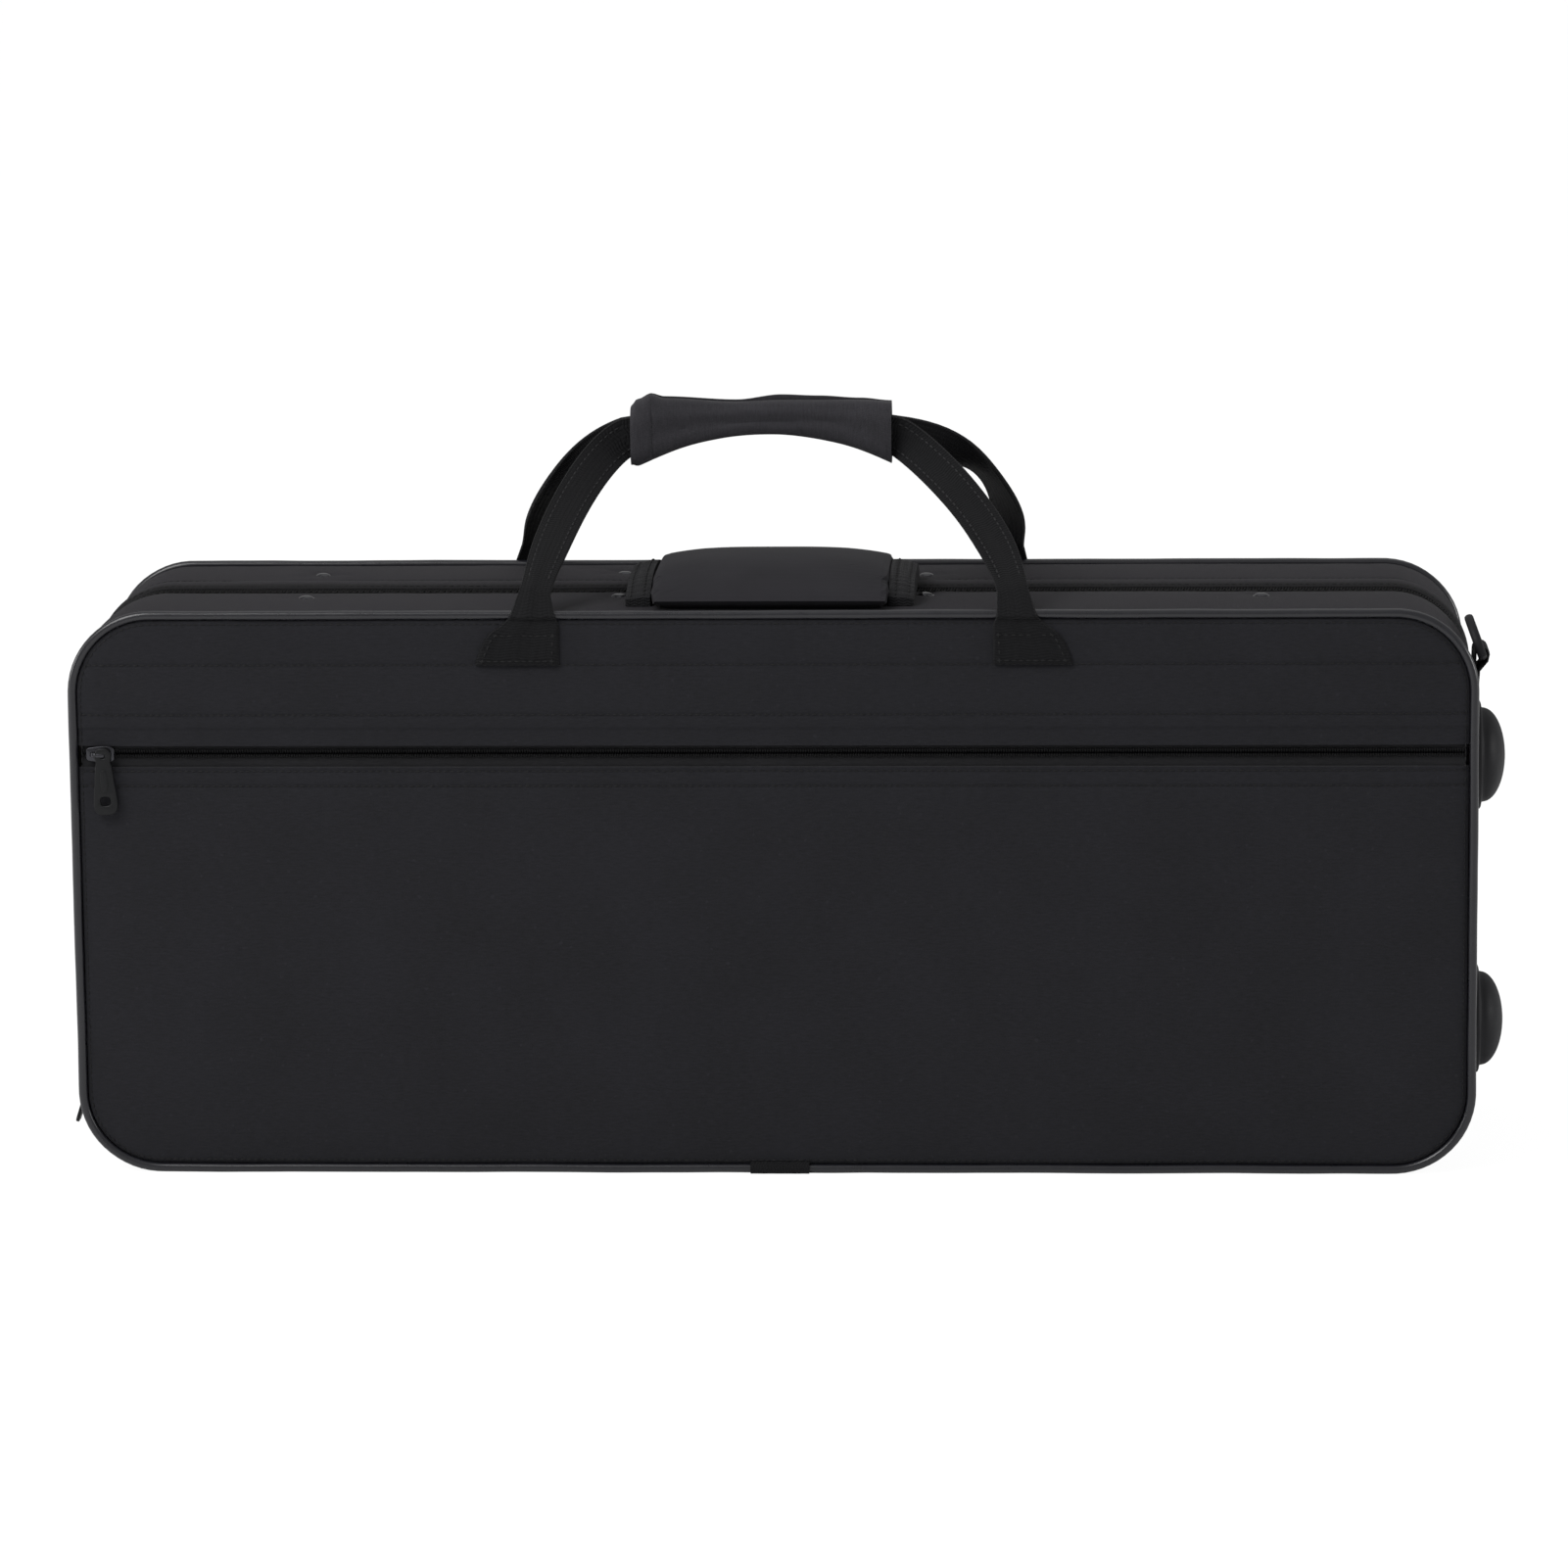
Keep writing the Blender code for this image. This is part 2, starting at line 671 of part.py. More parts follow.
def build_pocket_slider():
    """Slider with a bar along X, and a pull whose eye goes round the bar."""
    half_plate = pocket_slider_height / 2
    half_post = slider_post / 2
    half_long = pocket_slider_length / 2
    half_bar = eye_bar / 2
    face = box("pocket_face", slider_metal, (-half_long, half_long),
               (pocket_face_front, pocket_face_back), (-half_plate, half_plate))
    post = box("pocket_post", slider_metal, (-half_long + overrun, half_long - overrun),
               (pocket_face_back - clearance, pocket_plate_front + clearance), (-half_post, half_post))
    back = box("pocket_plate", slider_metal, (-half_long, half_long),
               (pocket_plate_front, pocket_plate_front + pocket_slider_plate), (-half_plate, half_plate))
    arch = box("pocket_arch", slider_metal, (-half_long + eye_bar, half_long - eye_bar),
               (eye_bar_front, pocket_face_back - clearance), (-half_bar, half_bar))
    hole = box("pocket_arch_hole", slider_metal, (-half_long + 2 * eye_bar, half_long - 2 * eye_bar),
               (eye_bar_front + eye_bar, pocket_face_front), (-eye_bar, eye_bar))
    arch_shape = place("pocket_arch_cut", carved_mesh([arch], [hole]), slider_metal)
    mesh = carved_mesh([face, post, back, arch_shape], [])
    place("pocket_slider", mesh, slider_metal, (pocket_slider_x, 0, pocket_slider_z))

    half_eye = eye_length / 2
    ring = cylinder("pull_eye", eye_radius, half_eye, "X", (0, 0, 0))
    bore = cylinder("pull_eye_bore", eye_bore, eye_length, "X", (0, 0, 0))
    body = box("pocket_pull_body", slider_metal, (-pocket_pull_width / 2, pocket_pull_width / 2),
               (-pull_thickness / 2, pull_thickness / 2), (eye_radius - pull_length, -eye_radius - clearance))
    neck = box("pocket_pull_neck", slider_metal, (-half_eye + clearance, half_eye - clearance),
               (-pull_thickness / 2 + clearance, pull_thickness / 2 - clearance),
               (-eye_radius - overrun, -eye_bore - clearance))
    place("pocket_pull", carved_mesh([body, neck, ring], [bore]), slider_metal,
          (pocket_slider_x + eye_offset, eye_axis_y, pocket_slider_z))


# Trim on the gussets
def build_feet():
    """Two domed feet on the right end of the lid."""
    profile = [(0, 0), (foot_radius, 0), (foot_radius, foot_flange), (foot_dome_radius, foot_flange)]
    for step in range(1, foot_dome_steps):
        angle = math.pi / 2 * step / foot_dome_steps
        profile.append((foot_dome_radius * math.cos(angle), foot_flange + foot_dome_height * math.sin(angle)))
    profile.append((0, foot_flange + foot_dome_height))
    mesh = turned_mesh("end_foot", profile, round_steps)
    for name, height in zip(("end_foot_upper", "end_foot_lower"), foot_heights):
        place(name, mesh, moulded_plastic, (gusset_face + clearance, foot_y, height), (0, math.pi / 2, 0))


def build_rivets():
    """Domed heads on the top gussets."""
    profile = [(0, 0)]
    for step in range(rivet_dome_steps):
        angle = math.pi / 2 * step / rivet_dome_steps
        profile.append((rivet_radius * math.cos(angle), rivet_height * math.sin(angle)))
    profile.append((0, rivet_height))
    mesh = turned_mesh("rivet", profile, rivet_steps)
    for half_name, spots in (("lid", lid_rivets), ("base", base_rivets)):
        for number, (x, y) in enumerate(spots, start=1):
            place(f"{half_name}_rivet_{number}", mesh, rivet_metal, (x, y, gusset_top + clearance))


def build_d_ring(side_name, side, y, height, lean):
    """A sewn tab on an end, and the D-ring that turns in it."""
    bore_radius = ring_wire + clearance
    loop_radius = bore_radius + ring_wall
    bar_x = gusset_face + clearance + loop_radius
    loop = cylinder("tab_loop", loop_radius, ring_tab_half_width, "Y", (side * bar_x, y, height))
    face_x = side * (gusset_face + clearance)
    tongue = box("tab_tongue", webbing, (face_x, face_x + side * ring_tab_thickness),
                 (y - ring_tab_half_width, y + ring_tab_half_width), (height - ring_tab_length, height))
    bore = cylinder("tab_bore", bore_radius, ring_tab_half_width + overrun, "Y", (side * bar_x, y, height))
    place("d_ring_tab_" + side_name, carved_mesh([loop, tongue], [bore]), webbing)
    points = [(0, -ring_half_width, 0)]
    for step in range(1, ring_steps):
        angle = math.pi * step / ring_steps
        points.append((0, -ring_half_width * math.cos(angle), ring_half_width * math.sin(angle)))
    points.append((0, ring_half_width, 0))
    rod("d_ring_" + side_name, moulded_plastic, points, ring_wire, (side * bar_x, y, height),
        (0, -side * lean, 0))


# Handles
strap_foot_y = bag_depth / 2 + strap_foot_offset
strap_foot_z = bag_height + clearance + strap_thickness / 2
grip_strap_y = grip_strap_half_gap + strap_thickness / 2


def grip_low(x):
    """Lower edge of the grip, arched between its ends."""
    share = (2 * x - grip_left - grip_right) / (grip_right - grip_left)
    return grip_top - grip_middle_height - (grip_end_height - grip_middle_height) * share ** 2


def grip_station(side, x):
    """Centre of the webbing in the grip and half its width, folded towards the middle."""
    share = (2 * x - grip_left - grip_right) / (grip_right - grip_left)
    half = strap_width / 2 * (grip_fold_share + (1 - grip_fold_share) * share ** 2)
    height = grip_low(x) + wrap_edge + wrap_ease + half
    return Vector((x, side * grip_strap_y, height)), half


def strap_stations(side, foot_x, grip_x, reach_shares, drop, twist):
    """Centre and facing of one bend, from the foot on a panel up to the grip."""
    outward = -1 if foot_x < 0 else 1
    foot = Vector((foot_x, side * strap_foot_y, strap_foot_z))
    grip = grip_station(side, grip_x)[0]
    knee = foot.lerp(grip, knee_share)
    knee.x = foot_x + (grip_x - foot_x) * reach_shares[0]
    shoulder = grip.copy()
    shoulder.x = foot_x + (grip_x - foot_x) * reach_shares[1]
    shoulder.z -= drop
    lean = math.atan2(strap_foot_y - grip_strap_y, grip.z - strap_foot_z)
    stations = []
    for step in range(strap_steps + 1):
        share = step / strap_steps
        rest = 1 - share
        centre = (foot * rest ** 3 + knee * (3 * rest ** 2 * share)
                  + shoulder * (3 * rest * share ** 2) + grip * share ** 3)
        turn = share * share * (3 - 2 * share)
        angle = lean * (1 - turn)
        aside = twist * math.sin(math.pi * share)
        facing = Vector((outward * math.sin(aside), side * math.cos(angle) * math.cos(aside),
                         math.sin(angle) * math.cos(aside)))
        stations.append((centre, facing))
    return stations


def build_strap(name, side, left_leg, right_leg):
    """A webbing handle from foot to foot, arched and folded in the grip."""
    left_bend = strap_stations(side, left_leg[0], grip_left, *left_leg[1:])
    right_bend = strap_stations(side, right_leg[0], grip_right, *right_leg[1:])
    right_bend.reverse()
    stations = left_bend[:-1]
    for step in range(grip_steps + 1):
        x = grip_left + (grip_right - grip_left) * step / grip_steps
        stations.append((grip_station(side, x)[0], None))
    stations += right_bend[1:]
    last = len(stations) - 1
    shape = bmesh.new()
    rings = []
    for index, (centre, facing) in enumerate(stations):
        half = strap_width / 2
        if facing is None:
            half = grip_station(side, centre.x)[1]
            across = Vector((0, 0, -side))
            outward = Vector((0, side, 0))
        else:
            before = stations[max(index - 1, 0)][0]
            after = stations[min(index + 1, last)][0]
            along = after - before
            if index in (0, last):
                along.x = 0
            along.normalize()
            across = facing.cross(along).normalized()
            outward = along.cross(across).normalized()
        ring = []
        for width_side, thick_side in ((-1, -1), (1, -1), (1, 1), (-1, 1)):
            corner = centre + across * (width_side * half)
            corner = corner + outward * (thick_side * strap_thickness / 2)
            ring.append(shape.verts.new(corner))
        rings.append(ring)
    for first, second in zip(rings, rings[1:]):
        bridge_rings(shape, first, second, True)
    shape.faces.new(rings[0])
    shape.faces.new(rings[-1])
    origin = Matrix.Translation((0, -side * strap_foot_y, -strap_foot_z))
    bmesh.ops.transform(shape, matrix=origin, verts=shape.verts[:])
    place(name, finished_mesh(name, shape, round_shading), webbing, (0, side * strap_foot_y, strap_foot_z))


def build_patch(name, side, foot_x):
    """The sewn foot of a strap: wide below, narrow where the strap leaves over the piping."""
    outward = -1 if foot_x < 0 else 1
    bottom_x = foot_x + outward * patch_lean
    panel_y = bag_depth / 2 - panel_step + clearance
    piping_y = bag_depth / 2 + clearance + clearance / 3
    shape = bmesh.new()
    corners = []
    for extra in (0, patch_thickness):
        ring = [(bottom_x - patch_bottom_width / 2, panel_y, bag_height - patch_height),
                (bottom_x + patch_bottom_width / 2, panel_y, bag_height - patch_height),
                (foot_x + patch_top_width / 2, piping_y, bag_height),
                (foot_x - patch_top_width / 2, piping_y, bag_height)]
        corners.append([shape.verts.new((x, side * (y + extra), z)) for x, y, z in ring])
    bridge_rings(shape, corners[0], corners[1], True)
    shape.faces.new(corners[0])
    shape.faces.new(corners[1])
    place(name, finished_mesh(name, shape), webbing)


def build_wrap(name, side):
    """Half of the grip wrap: an arched channel round one strap."""
    strap_back = grip_strap_y + strap_thickness / 2 + clearance
    wrap_back = strap_back + wrap_wall
    wrap_left = grip_left + wrap_setback
    wrap_right = grip_right - wrap_setback
    shape = bmesh.new()
    rings = []
    for step in range(grip_steps + 1):
        x = wrap_left + (wrap_right - wrap_left) * step / grip_steps
        low = grip_low(x) - grip_top
        section = [(clearance, 0), (wrap_back, 0), (wrap_back, low), (clearance, low),
                   (clearance, low + wrap_edge), (strap_back, low + wrap_edge), (strap_back, -wrap_edge),
                   (clearance, -wrap_edge)]
        rings.append([shape.verts.new((x, side * y, z)) for y, z in section])
    for first, second in zip(rings, rings[1:]):
        bridge_rings(shape, first, second, True)
    shape.faces.new(rings[0])
    shape.faces.new(rings[-1])
    place(name, finished_mesh(name, shape), wrap_cloth, (0, 0, grip_top))


# Pad over the zipper, between the handles
def crowned_mesh(name, x_range, y_range, columns, height, end_power):
    """A closed cushion that is highest along its middle; end_power also lowers its ends."""
    bottom = bag_height - edge_strip_inset + clearance
    centre_x = (x_range[0] + x_range[1]) / 2
    centre_y = (y_range[0] + y_range[1]) / 2
    half_x = (x_range[1] - x_range[0]) / 2
    half_y = (y_range[1] - y_range[0]) / 2
    shape = bmesh.new()
    lower = {}
    upper = {}
    for column in range(columns + 1):
        for row in range(pad_rows + 1):
            u = 2 * column / columns - 1
            v = 2 * row / pad_rows - 1
            crown = 1 - abs(v) ** pad_crown_power
            if end_power:
                crown *= 1 - abs(u) ** end_power
            rise = height * (pad_edge_share + (1 - pad_edge_share) * crown)
            x = centre_x + half_x * u
            y = centre_y + half_y * v
            lower[column, row] = shape.verts.new((x, y, bottom))
            upper[column, row] = shape.verts.new((x, y, bottom + rise))
    for column in range(columns):
        for row in range(pad_rows):
            for level in (lower, upper):
                shape.faces.new((level[column, row], level[column + 1, row],
                                 level[column + 1, row + 1], level[column, row + 1]))
    rim = [(column, 0) for column in range(columns)]
    rim += [(columns, row) for row in range(pad_rows)]
    rim += [(column, pad_rows) for column in range(columns, 0, -1)]
    rim += [(0, row) for row in range(pad_rows, 0, -1)]
    bridge_rings(shape, [lower[key] for key in rim], [upper[key] for key in rim], True)
    return finished_mesh(name, shape, round_shading)


def build_pad():
    """A crowned pad with a lower sewn tab at each end."""
    pad = crowned_mesh("top_pad", (pad_left, pad_right), (pad_front, pad_back), pad_columns,
                       pad_height, pad_end_power)
    place("top_pad", pad, wrap_cloth)
    tab_y = (pad_front + pad_tab_front_inset, pad_back - pad_tab_back_inset)
    inner_left = pad_left - clearance
    inner_right = pad_right + clearance
    for name, x_range in (("pad_tab_left", (inner_left - pad_tab_width, inner_left)),
                          ("pad_tab_right", (inner_right, inner_right + pad_tab_width))):
        tab = crowned_mesh(name, x_range, tab_y, pad_tab_columns, pad_tab_height, 0)
        place(name, tab, webbing)


# Moulded insert
insert_front = parting_y + insert_setback


def well(name, points, depth):
    """A cutter that sinks a flat shape into the front of the insert."""
    cutter = plate(name, foam, points, insert_front - overrun, insert_front + depth)
    cutter.hide_render = True
    cutter.display_type = "WIRE"
    return cutter


def build_insert():
    """Foam that holds the horn's body, bow, bell and neck, with a box for small things."""
    insert_back = base_floor - board - clearance - lining - clearance
    well_depth = insert_back - insert_front - well_floor
    insert = plate("base_insert", foam, outline(insert_inset), insert_front, insert_back)
    left, right = accessory_well[0]
    bottom, top = accessory_well[1]
    mouth_x = (left - accessory_ledge, right + accessory_ledge)
    mouth_z = (bottom - accessory_ledge, top + accessory_ledge)
    shapes = [
        ("body_well", box_points(*body_well), well_depth),
        ("bow_well", arc(*bow_centre, bow_radius, 0, 360 - 360 / well_steps, well_steps - 1), well_depth),
        ("bell_tube_well", box_points(*bell_tube_well), well_depth),
        ("bell_well", arc(*bell_centre, bell_radius, 0, 360 - 360 / well_steps, well_steps - 1),
         well_depth),
        ("neck_well", box_points(*neck_well), well_depth),
        ("accessory_well", box_points(*accessory_well), well_depth),
        ("accessory_mouth", box_points(mouth_x, mouth_z), accessory_board + clearance),
    ]
    for name, points, depth in shapes:
        boolean(insert, well(name, points, depth), "DIFFERENCE")
    hinge_x = mouth_x[0] + clearance
    door = plate_mesh("accessory_lid",
                      box_points((0, mouth_x[1] - clearance - hinge_x),
                                 (mouth_z[0] + clearance, mouth_z[1] - clearance)),
                      0, accessory_board)
    place("accessory_lid", door, plush, (hinge_x, insert_front, 0))


build_lid_walls()
build_base_walls()
build_piping("front_piping", -1)
build_piping("back_piping", 1)
build_hinge_strips()
build_zipper("lid", -1)
build_zipper("base", 1)
build_main_sliders()
build_front()
build_pocket_slider()
build_feet()
build_rivets()
build_d_ring("right", 1, right_ring_y, right_ring_height, right_ring_lean)
build_d_ring("left", -1, left_ring_y, left_ring_height, left_ring_lean)
build_strap("front_handle_strap", -1,
            (front_foot_left, front_left_reach_shares, front_left_drop, front_twist),
            (front_foot_right, front_right_reach_shares, front_right_drop, front_twist))
build_strap("back_handle_strap", 1,
            (back_foot_left, back_left_reach_shares, back_left_drop, back_left_twist),
            (back_foot_right, back_right_reach_shares, back_right_drop, back_right_twist))
build_patch("front_patch_left", -1, front_foot_left)
build_patch("front_patch_right", -1, front_foot_right)
build_patch("back_patch_left", 1, back_foot_left)
build_patch("back_patch_right", 1, back_foot_right)
build_wrap("grip_flap", -1)
build_wrap("grip_wrap", 1)
build_pad()
build_insert()
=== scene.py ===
# Alto saxophone bag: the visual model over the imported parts
import math

import bmesh
import bpy
from mathutils import Matrix, Vector, noise


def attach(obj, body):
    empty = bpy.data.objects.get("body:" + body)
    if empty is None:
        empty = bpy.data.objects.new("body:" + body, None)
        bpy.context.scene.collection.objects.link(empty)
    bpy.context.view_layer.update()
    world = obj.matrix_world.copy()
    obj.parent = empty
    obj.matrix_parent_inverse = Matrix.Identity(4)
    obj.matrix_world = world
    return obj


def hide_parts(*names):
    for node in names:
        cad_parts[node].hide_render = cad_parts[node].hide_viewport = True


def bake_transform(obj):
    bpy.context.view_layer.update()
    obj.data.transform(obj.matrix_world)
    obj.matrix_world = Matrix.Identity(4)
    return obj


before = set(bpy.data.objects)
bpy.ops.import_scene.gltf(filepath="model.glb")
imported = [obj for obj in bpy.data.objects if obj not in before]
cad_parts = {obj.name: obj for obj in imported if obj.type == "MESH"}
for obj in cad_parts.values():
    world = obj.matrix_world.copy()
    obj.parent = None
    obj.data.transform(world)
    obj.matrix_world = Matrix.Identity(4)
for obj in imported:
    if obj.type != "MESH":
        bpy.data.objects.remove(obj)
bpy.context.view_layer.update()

scene = bpy.context.scene
mm = 0.001
white = (1, 1, 1, 1)


# Objects and nodes
def linked(name, data):
    """An object of the scene."""
    thing = bpy.data.objects.new(name, data)
    scene.collection.objects.link(thing)
    return thing


def plain_mesh(thing):
    """What an object's modifiers or its curve make, as a plain mesh."""
    return bpy.data.meshes.new_from_object(thing.evaluated_get(bpy.context.evaluated_depsgraph_get()))


def feed(tree, socket, value):
    """Links a socket to another one, or sets its value."""
    if isinstance(value, bpy.types.NodeSocket):
        tree.links.new(value, socket)
    else:
        socket.default_value = value


def add_node(tree, kind, settings=None, inputs=None):
    """A node with its settings, and then the links or values of its sockets."""
    made = tree.nodes.new(kind)
    for key, value in (settings or {}).items():
        setattr(made, key, value)
    for key, value in (inputs or {}).items():
        feed(tree, made.inputs[key], value)
    return made


def axes_to(first, second, third):
    """The turn that takes X, Y and Z to three directions."""
    return Matrix((first, second, third)).transposed().to_4x4()


# Camera, solved from the photo
photo_px = 1601
focal_px = 6926
sensor_width = 36.0
camera_place = Vector((0.156, -3.102, 0.733))
camera_pitch = math.radians(10.33)
camera_yaw = math.radians(2.84)
camera_roll = math.radians(-0.56)

camera_data = bpy.data.cameras.new("camera")
camera_data.sensor_width = sensor_width
camera_data.lens = sensor_width * focal_px / photo_px
camera_data.clip_start = 0.1
camera_data.clip_end = 200
camera = linked("camera", camera_data)
scene.camera = camera
forward = Vector((-math.sin(camera_yaw) * math.cos(camera_pitch),
                  math.cos(camera_yaw) * math.cos(camera_pitch), -math.sin(camera_pitch)))
level = Vector((math.cos(camera_yaw), math.sin(camera_yaw), 0))
upright = level.cross(forward)
right = level * math.cos(camera_roll) + upright * math.sin(camera_roll)
up = upright * math.cos(camera_roll) - level * math.sin(camera_roll)
camera.matrix_world = Matrix.Translation(camera_place) @ axes_to(right, up, -forward)


# Outline of the bag, seen from the front
length = 0.640
height = 0.261
corner = 0.038
half_length = length / 2
flat_half = half_length - corner
side_run = height - 2 * corner
quarter = math.pi / 2 * corner
straights = (flat_half, side_run, 2 * flat_half, side_run, flat_half)
perimeter = 4 * flat_half + 2 * side_run + 4 * quarter
full_span = (0, perimeter)
open_span = (flat_half, perimeter - flat_half)
parting = -0.004
end_face = 0.3185
bar_x = 0.3223
piping_y = 0.0779


# Shader maths
class Wire:
    """One socket of a shader, so that its maths reads as Python."""

    def __init__(self, shader, socket):
        self.shader = shader
        self.socket = socket

    def maths(self, operation, *others):
        return self.shader.node("ShaderNodeMath", {"operation": operation}, dict(enumerate((self, *others))))

    def __add__(self, other):
        return self.maths("ADD", other)

    def __sub__(self, other):
        return self.maths("SUBTRACT", other)

    def __rsub__(self, other):
        return self.maths("MULTIPLY", -1.0).maths("ADD", other)

    def __mul__(self, other):
        return self.maths("MULTIPLY", other)

    def __abs__(self):
        return self.maths("ABSOLUTE")

    def sine(self):
        return self.maths("SINE")

    def limited(self):
        return self.maths("MAXIMUM", 0.0).maths("MINIMUM", 1.0)

    __radd__ = __add__
    __rmul__ = __mul__


class Shader:
    """A material with a Principled surface, and a short way to add nodes."""

    def __init__(self, name, **constants):
        self.material = bpy.data.materials.new(name)
        self.material.use_nodes = True
        self.tree = self.material.node_tree
        self.surface = self.tree.nodes["Principled BSDF"]
        for key, value in constants.items():
            self.surface.inputs[key.replace("_", " ").title().replace("Ior", "IOR")].default_value = value

    def node(self, kind, settings=None, inputs=None, output=0):
        sockets = {key: getattr(value, "socket", value) for key, value in (inputs or {}).items()}
        return Wire(self, add_node(self.tree, kind, settings, sockets).outputs[output])

    def mixed(self, factor, first, second):
        settings = {"data_type": "RGBA"}
        return self.node("ShaderNodeMix", settings, {0: factor, 6: first, 7: second}, output=2)

    def spots(self, vector, scale, detail=2.0):
        return self.node("ShaderNodeTexNoise", None, {"Vector": vector, "Scale": scale, "Detail": detail})

    def stretched(self, vector, scale):
        return self.node("ShaderNodeMapping", None, {"Vector": vector, "Scale": scale})

    def woven_place(self):
        return self.node("ShaderNodeUVMap", {"uv_map": "weave"})

    def object_place(self):
        return self.node("ShaderNodeTexCoord", output=3)

    def parts(self, vector):
        """The three parts of a vector."""
        first = self.node("ShaderNodeSeparateXYZ", None, {0: vector})
        return [Wire(self, socket) for socket in first.socket.node.outputs]

    def tinted(self, factor, colour, dark, light):
        """A colour between a darker and a lighter tone of it."""
        tones = [(*(part * share for part in colour[:3]), 1.0) for share in (dark, light)]
        return self.mixed(factor, *tones)

    def paint(self, colour, roughness, height, distance):
        bump = self.node("ShaderNodeBump", None, {"Height": height, "Distance": distance})
        for key, value in (("Base Color", colour), ("Roughness", roughness), ("Normal", bump)):
            feed(self.tree, self.surface.inputs[key], getattr(value, "socket", value))
        return self.material


def shade(red, green, blue):
    """An sRGB colour, 0 to 255, as a linear one."""
    linear = []
    for value in (red / 255, green / 255, blue / 255):
        linear.append(value / 12.92 if value < 0.04045 else ((value + 0.055) / 1.055) ** 2.4)
    return (*linear, 1.0)


# Where painted shade darkens the seams, and how fast it fades, per metre
edge_shade = 2.6
edge_fade = 620.0
side_seam_y = 0.0718
side_fade = 420.0
dip_half = 0.0125
dip_fade = 300.0
seam_shade_share = 0.75
seam_shade_colour = (0.001, 0.001, 0.0012, 1.0)


def seam_shade_at_edge(shader):
    """1 in the painted shade of the seam round a face, 0 on the face, from how far inside the outline a point
    lies.
    """
    x, _, z = shader.parts(shader.object_place())
    over_x = abs(x) - flat_half
    over_z = abs(z - height / 2) - side_run / 2
    out_x = over_x.maths("MAXIMUM", 0.0)
    out_z = over_z.maths("MAXIMUM", 0.0)
    outside = (out_x * out_x + out_z * out_z).maths("SQRT")
    inside = corner - outside - over_x.maths("MAXIMUM", over_z).maths("MINIMUM", 0.0)
    return (edge_shade - inside * edge_fade).limited()


def seam_shade_at_sides(shader):
    """1 in the painted shade of the seams along both sides of the cloth round the bag and of the dip at its
    zipper.
    """
    y = shader.parts(shader.object_place())[1]
    seams = ((abs(y) - side_seam_y) * side_fade).limited()
    dip = ((dip_half - abs(y - parting)) * dip_fade).limited()
    return (seams + dip).limited()


def cloth(name, colour, pitch, relief, sheen, seam=None):
    """Plain weave with slubs along the weft, lint, slow patches of wear and painted shade in its seams."""
    shader = Shader(name, sheen_weight=sheen, sheen_roughness=0.45, specular_ior_level=0.2)
    place = shader.woven_place()
    across, along = [part * (math.pi / pitch) for part in shader.parts(place)[:2]]
    over = (across.sine() * along.sine() * 3.0 + 0.5).limited()
    weave = abs(across.sine()) * over + abs(along.sine()) * (1.0 - over)
    slub = shader.spots(shader.stretched(place, (260, 1100, 1)), 1.0, 3.0)
    grain = shader.spots(place, 1600, 1.0)
    wear = shader.spots(shader.object_place(), 24, 3.0)
    lint = (shader.spots(place, 420, 0.0) * 12.0 - 9.3).limited()
    factor = (weave * 0.4 + slub * 0.9 + grain * 0.7 + wear * 0.8 - 0.88 + lint * 0.6).limited()
    tint = shader.tinted(factor, colour, 0.55, 1.45)
    # Painted shade: the seams' creases are mixed towards near black
    if seam:
        tint = shader.mixed(seam(shader) * seam_shade_share, tint, seam_shade_colour)
    bumps = weave + slub * 0.7 + grain * 0.4
    return shader.paint(tint, 0.72 + wear * 0.2, bumps, relief)


def ribbed(name, colour, pitch, relief):
    """Webbing: herringbone ribs that run across the strap, with a firm edge."""
    shader = Shader(name, sheen_weight=0.05, sheen_roughness=0.4, specular_ior_level=0.2)
    place = shader.woven_place()
    across, along, _ = shader.parts(place)
    zigzag = abs((across * 250.0).maths("FRACT") - 0.5)
    ribs = abs(((along + zigzag * pitch * 1.4) * (math.pi / pitch)).sine())
    cords = abs((across * (math.pi / 0.0011)).sine())
    slub = shader.spots(shader.stretched(place, (900, 260, 1)), 1.0, 3.0)
    wear = shader.spots(shader.object_place(), 25, 3.0)
    factor = (ribs * 0.4 + cords * 0.2 + slub * 0.5 + wear * 0.5 - 0.3).limited()
    bumps = ribs + cords * 0.5 + slub * 0.5
    return shader.paint(shader.tinted(factor, colour, 0.6, 1.45), 0.7 + wear * 0.2, bumps, relief)


def smooth(name, colour, roughness, relief, scale, metallic=0.0, coat=0.0, level=0.4):
    """Vinyl, nylon, moulded plastic or plated metal, with handling marks."""
    shader = Shader(name, metallic=metallic, coat_weight=coat, coat_roughness=0.25, specular_ior_level=level)
    place = shader.object_place()
    marks = shader.spots(place, scale, 4.0)
    broad = shader.spots(place, scale / 14, 2.0)
    tint = shader.tinted((marks * 0.5 + broad * 0.6).limited(), colour, 0.75, 1.25)
    return shader.paint(tint, marks * 0.16 + broad * 0.1 + (roughness - 0.13), marks, relief)


def flocked(name, colour):
    """Short plush or flock, brushed two ways."""
    shader = Shader(name, sheen_weight=0.6, sheen_roughness=0.35, specular_ior_level=0.1)
    place = shader.object_place()
    pile = shader.spots(place, 1400, 2.0)
    brushed = shader.spots(place, 22, 3.0)
    tint = shader.tinted((pile * 0.6 + brushed * 0.9 - 0.25).limited(), colour, 0.6, 1.5)
    return shader.paint(tint, 0.95, pile + brushed * 2.0, 0.0004)


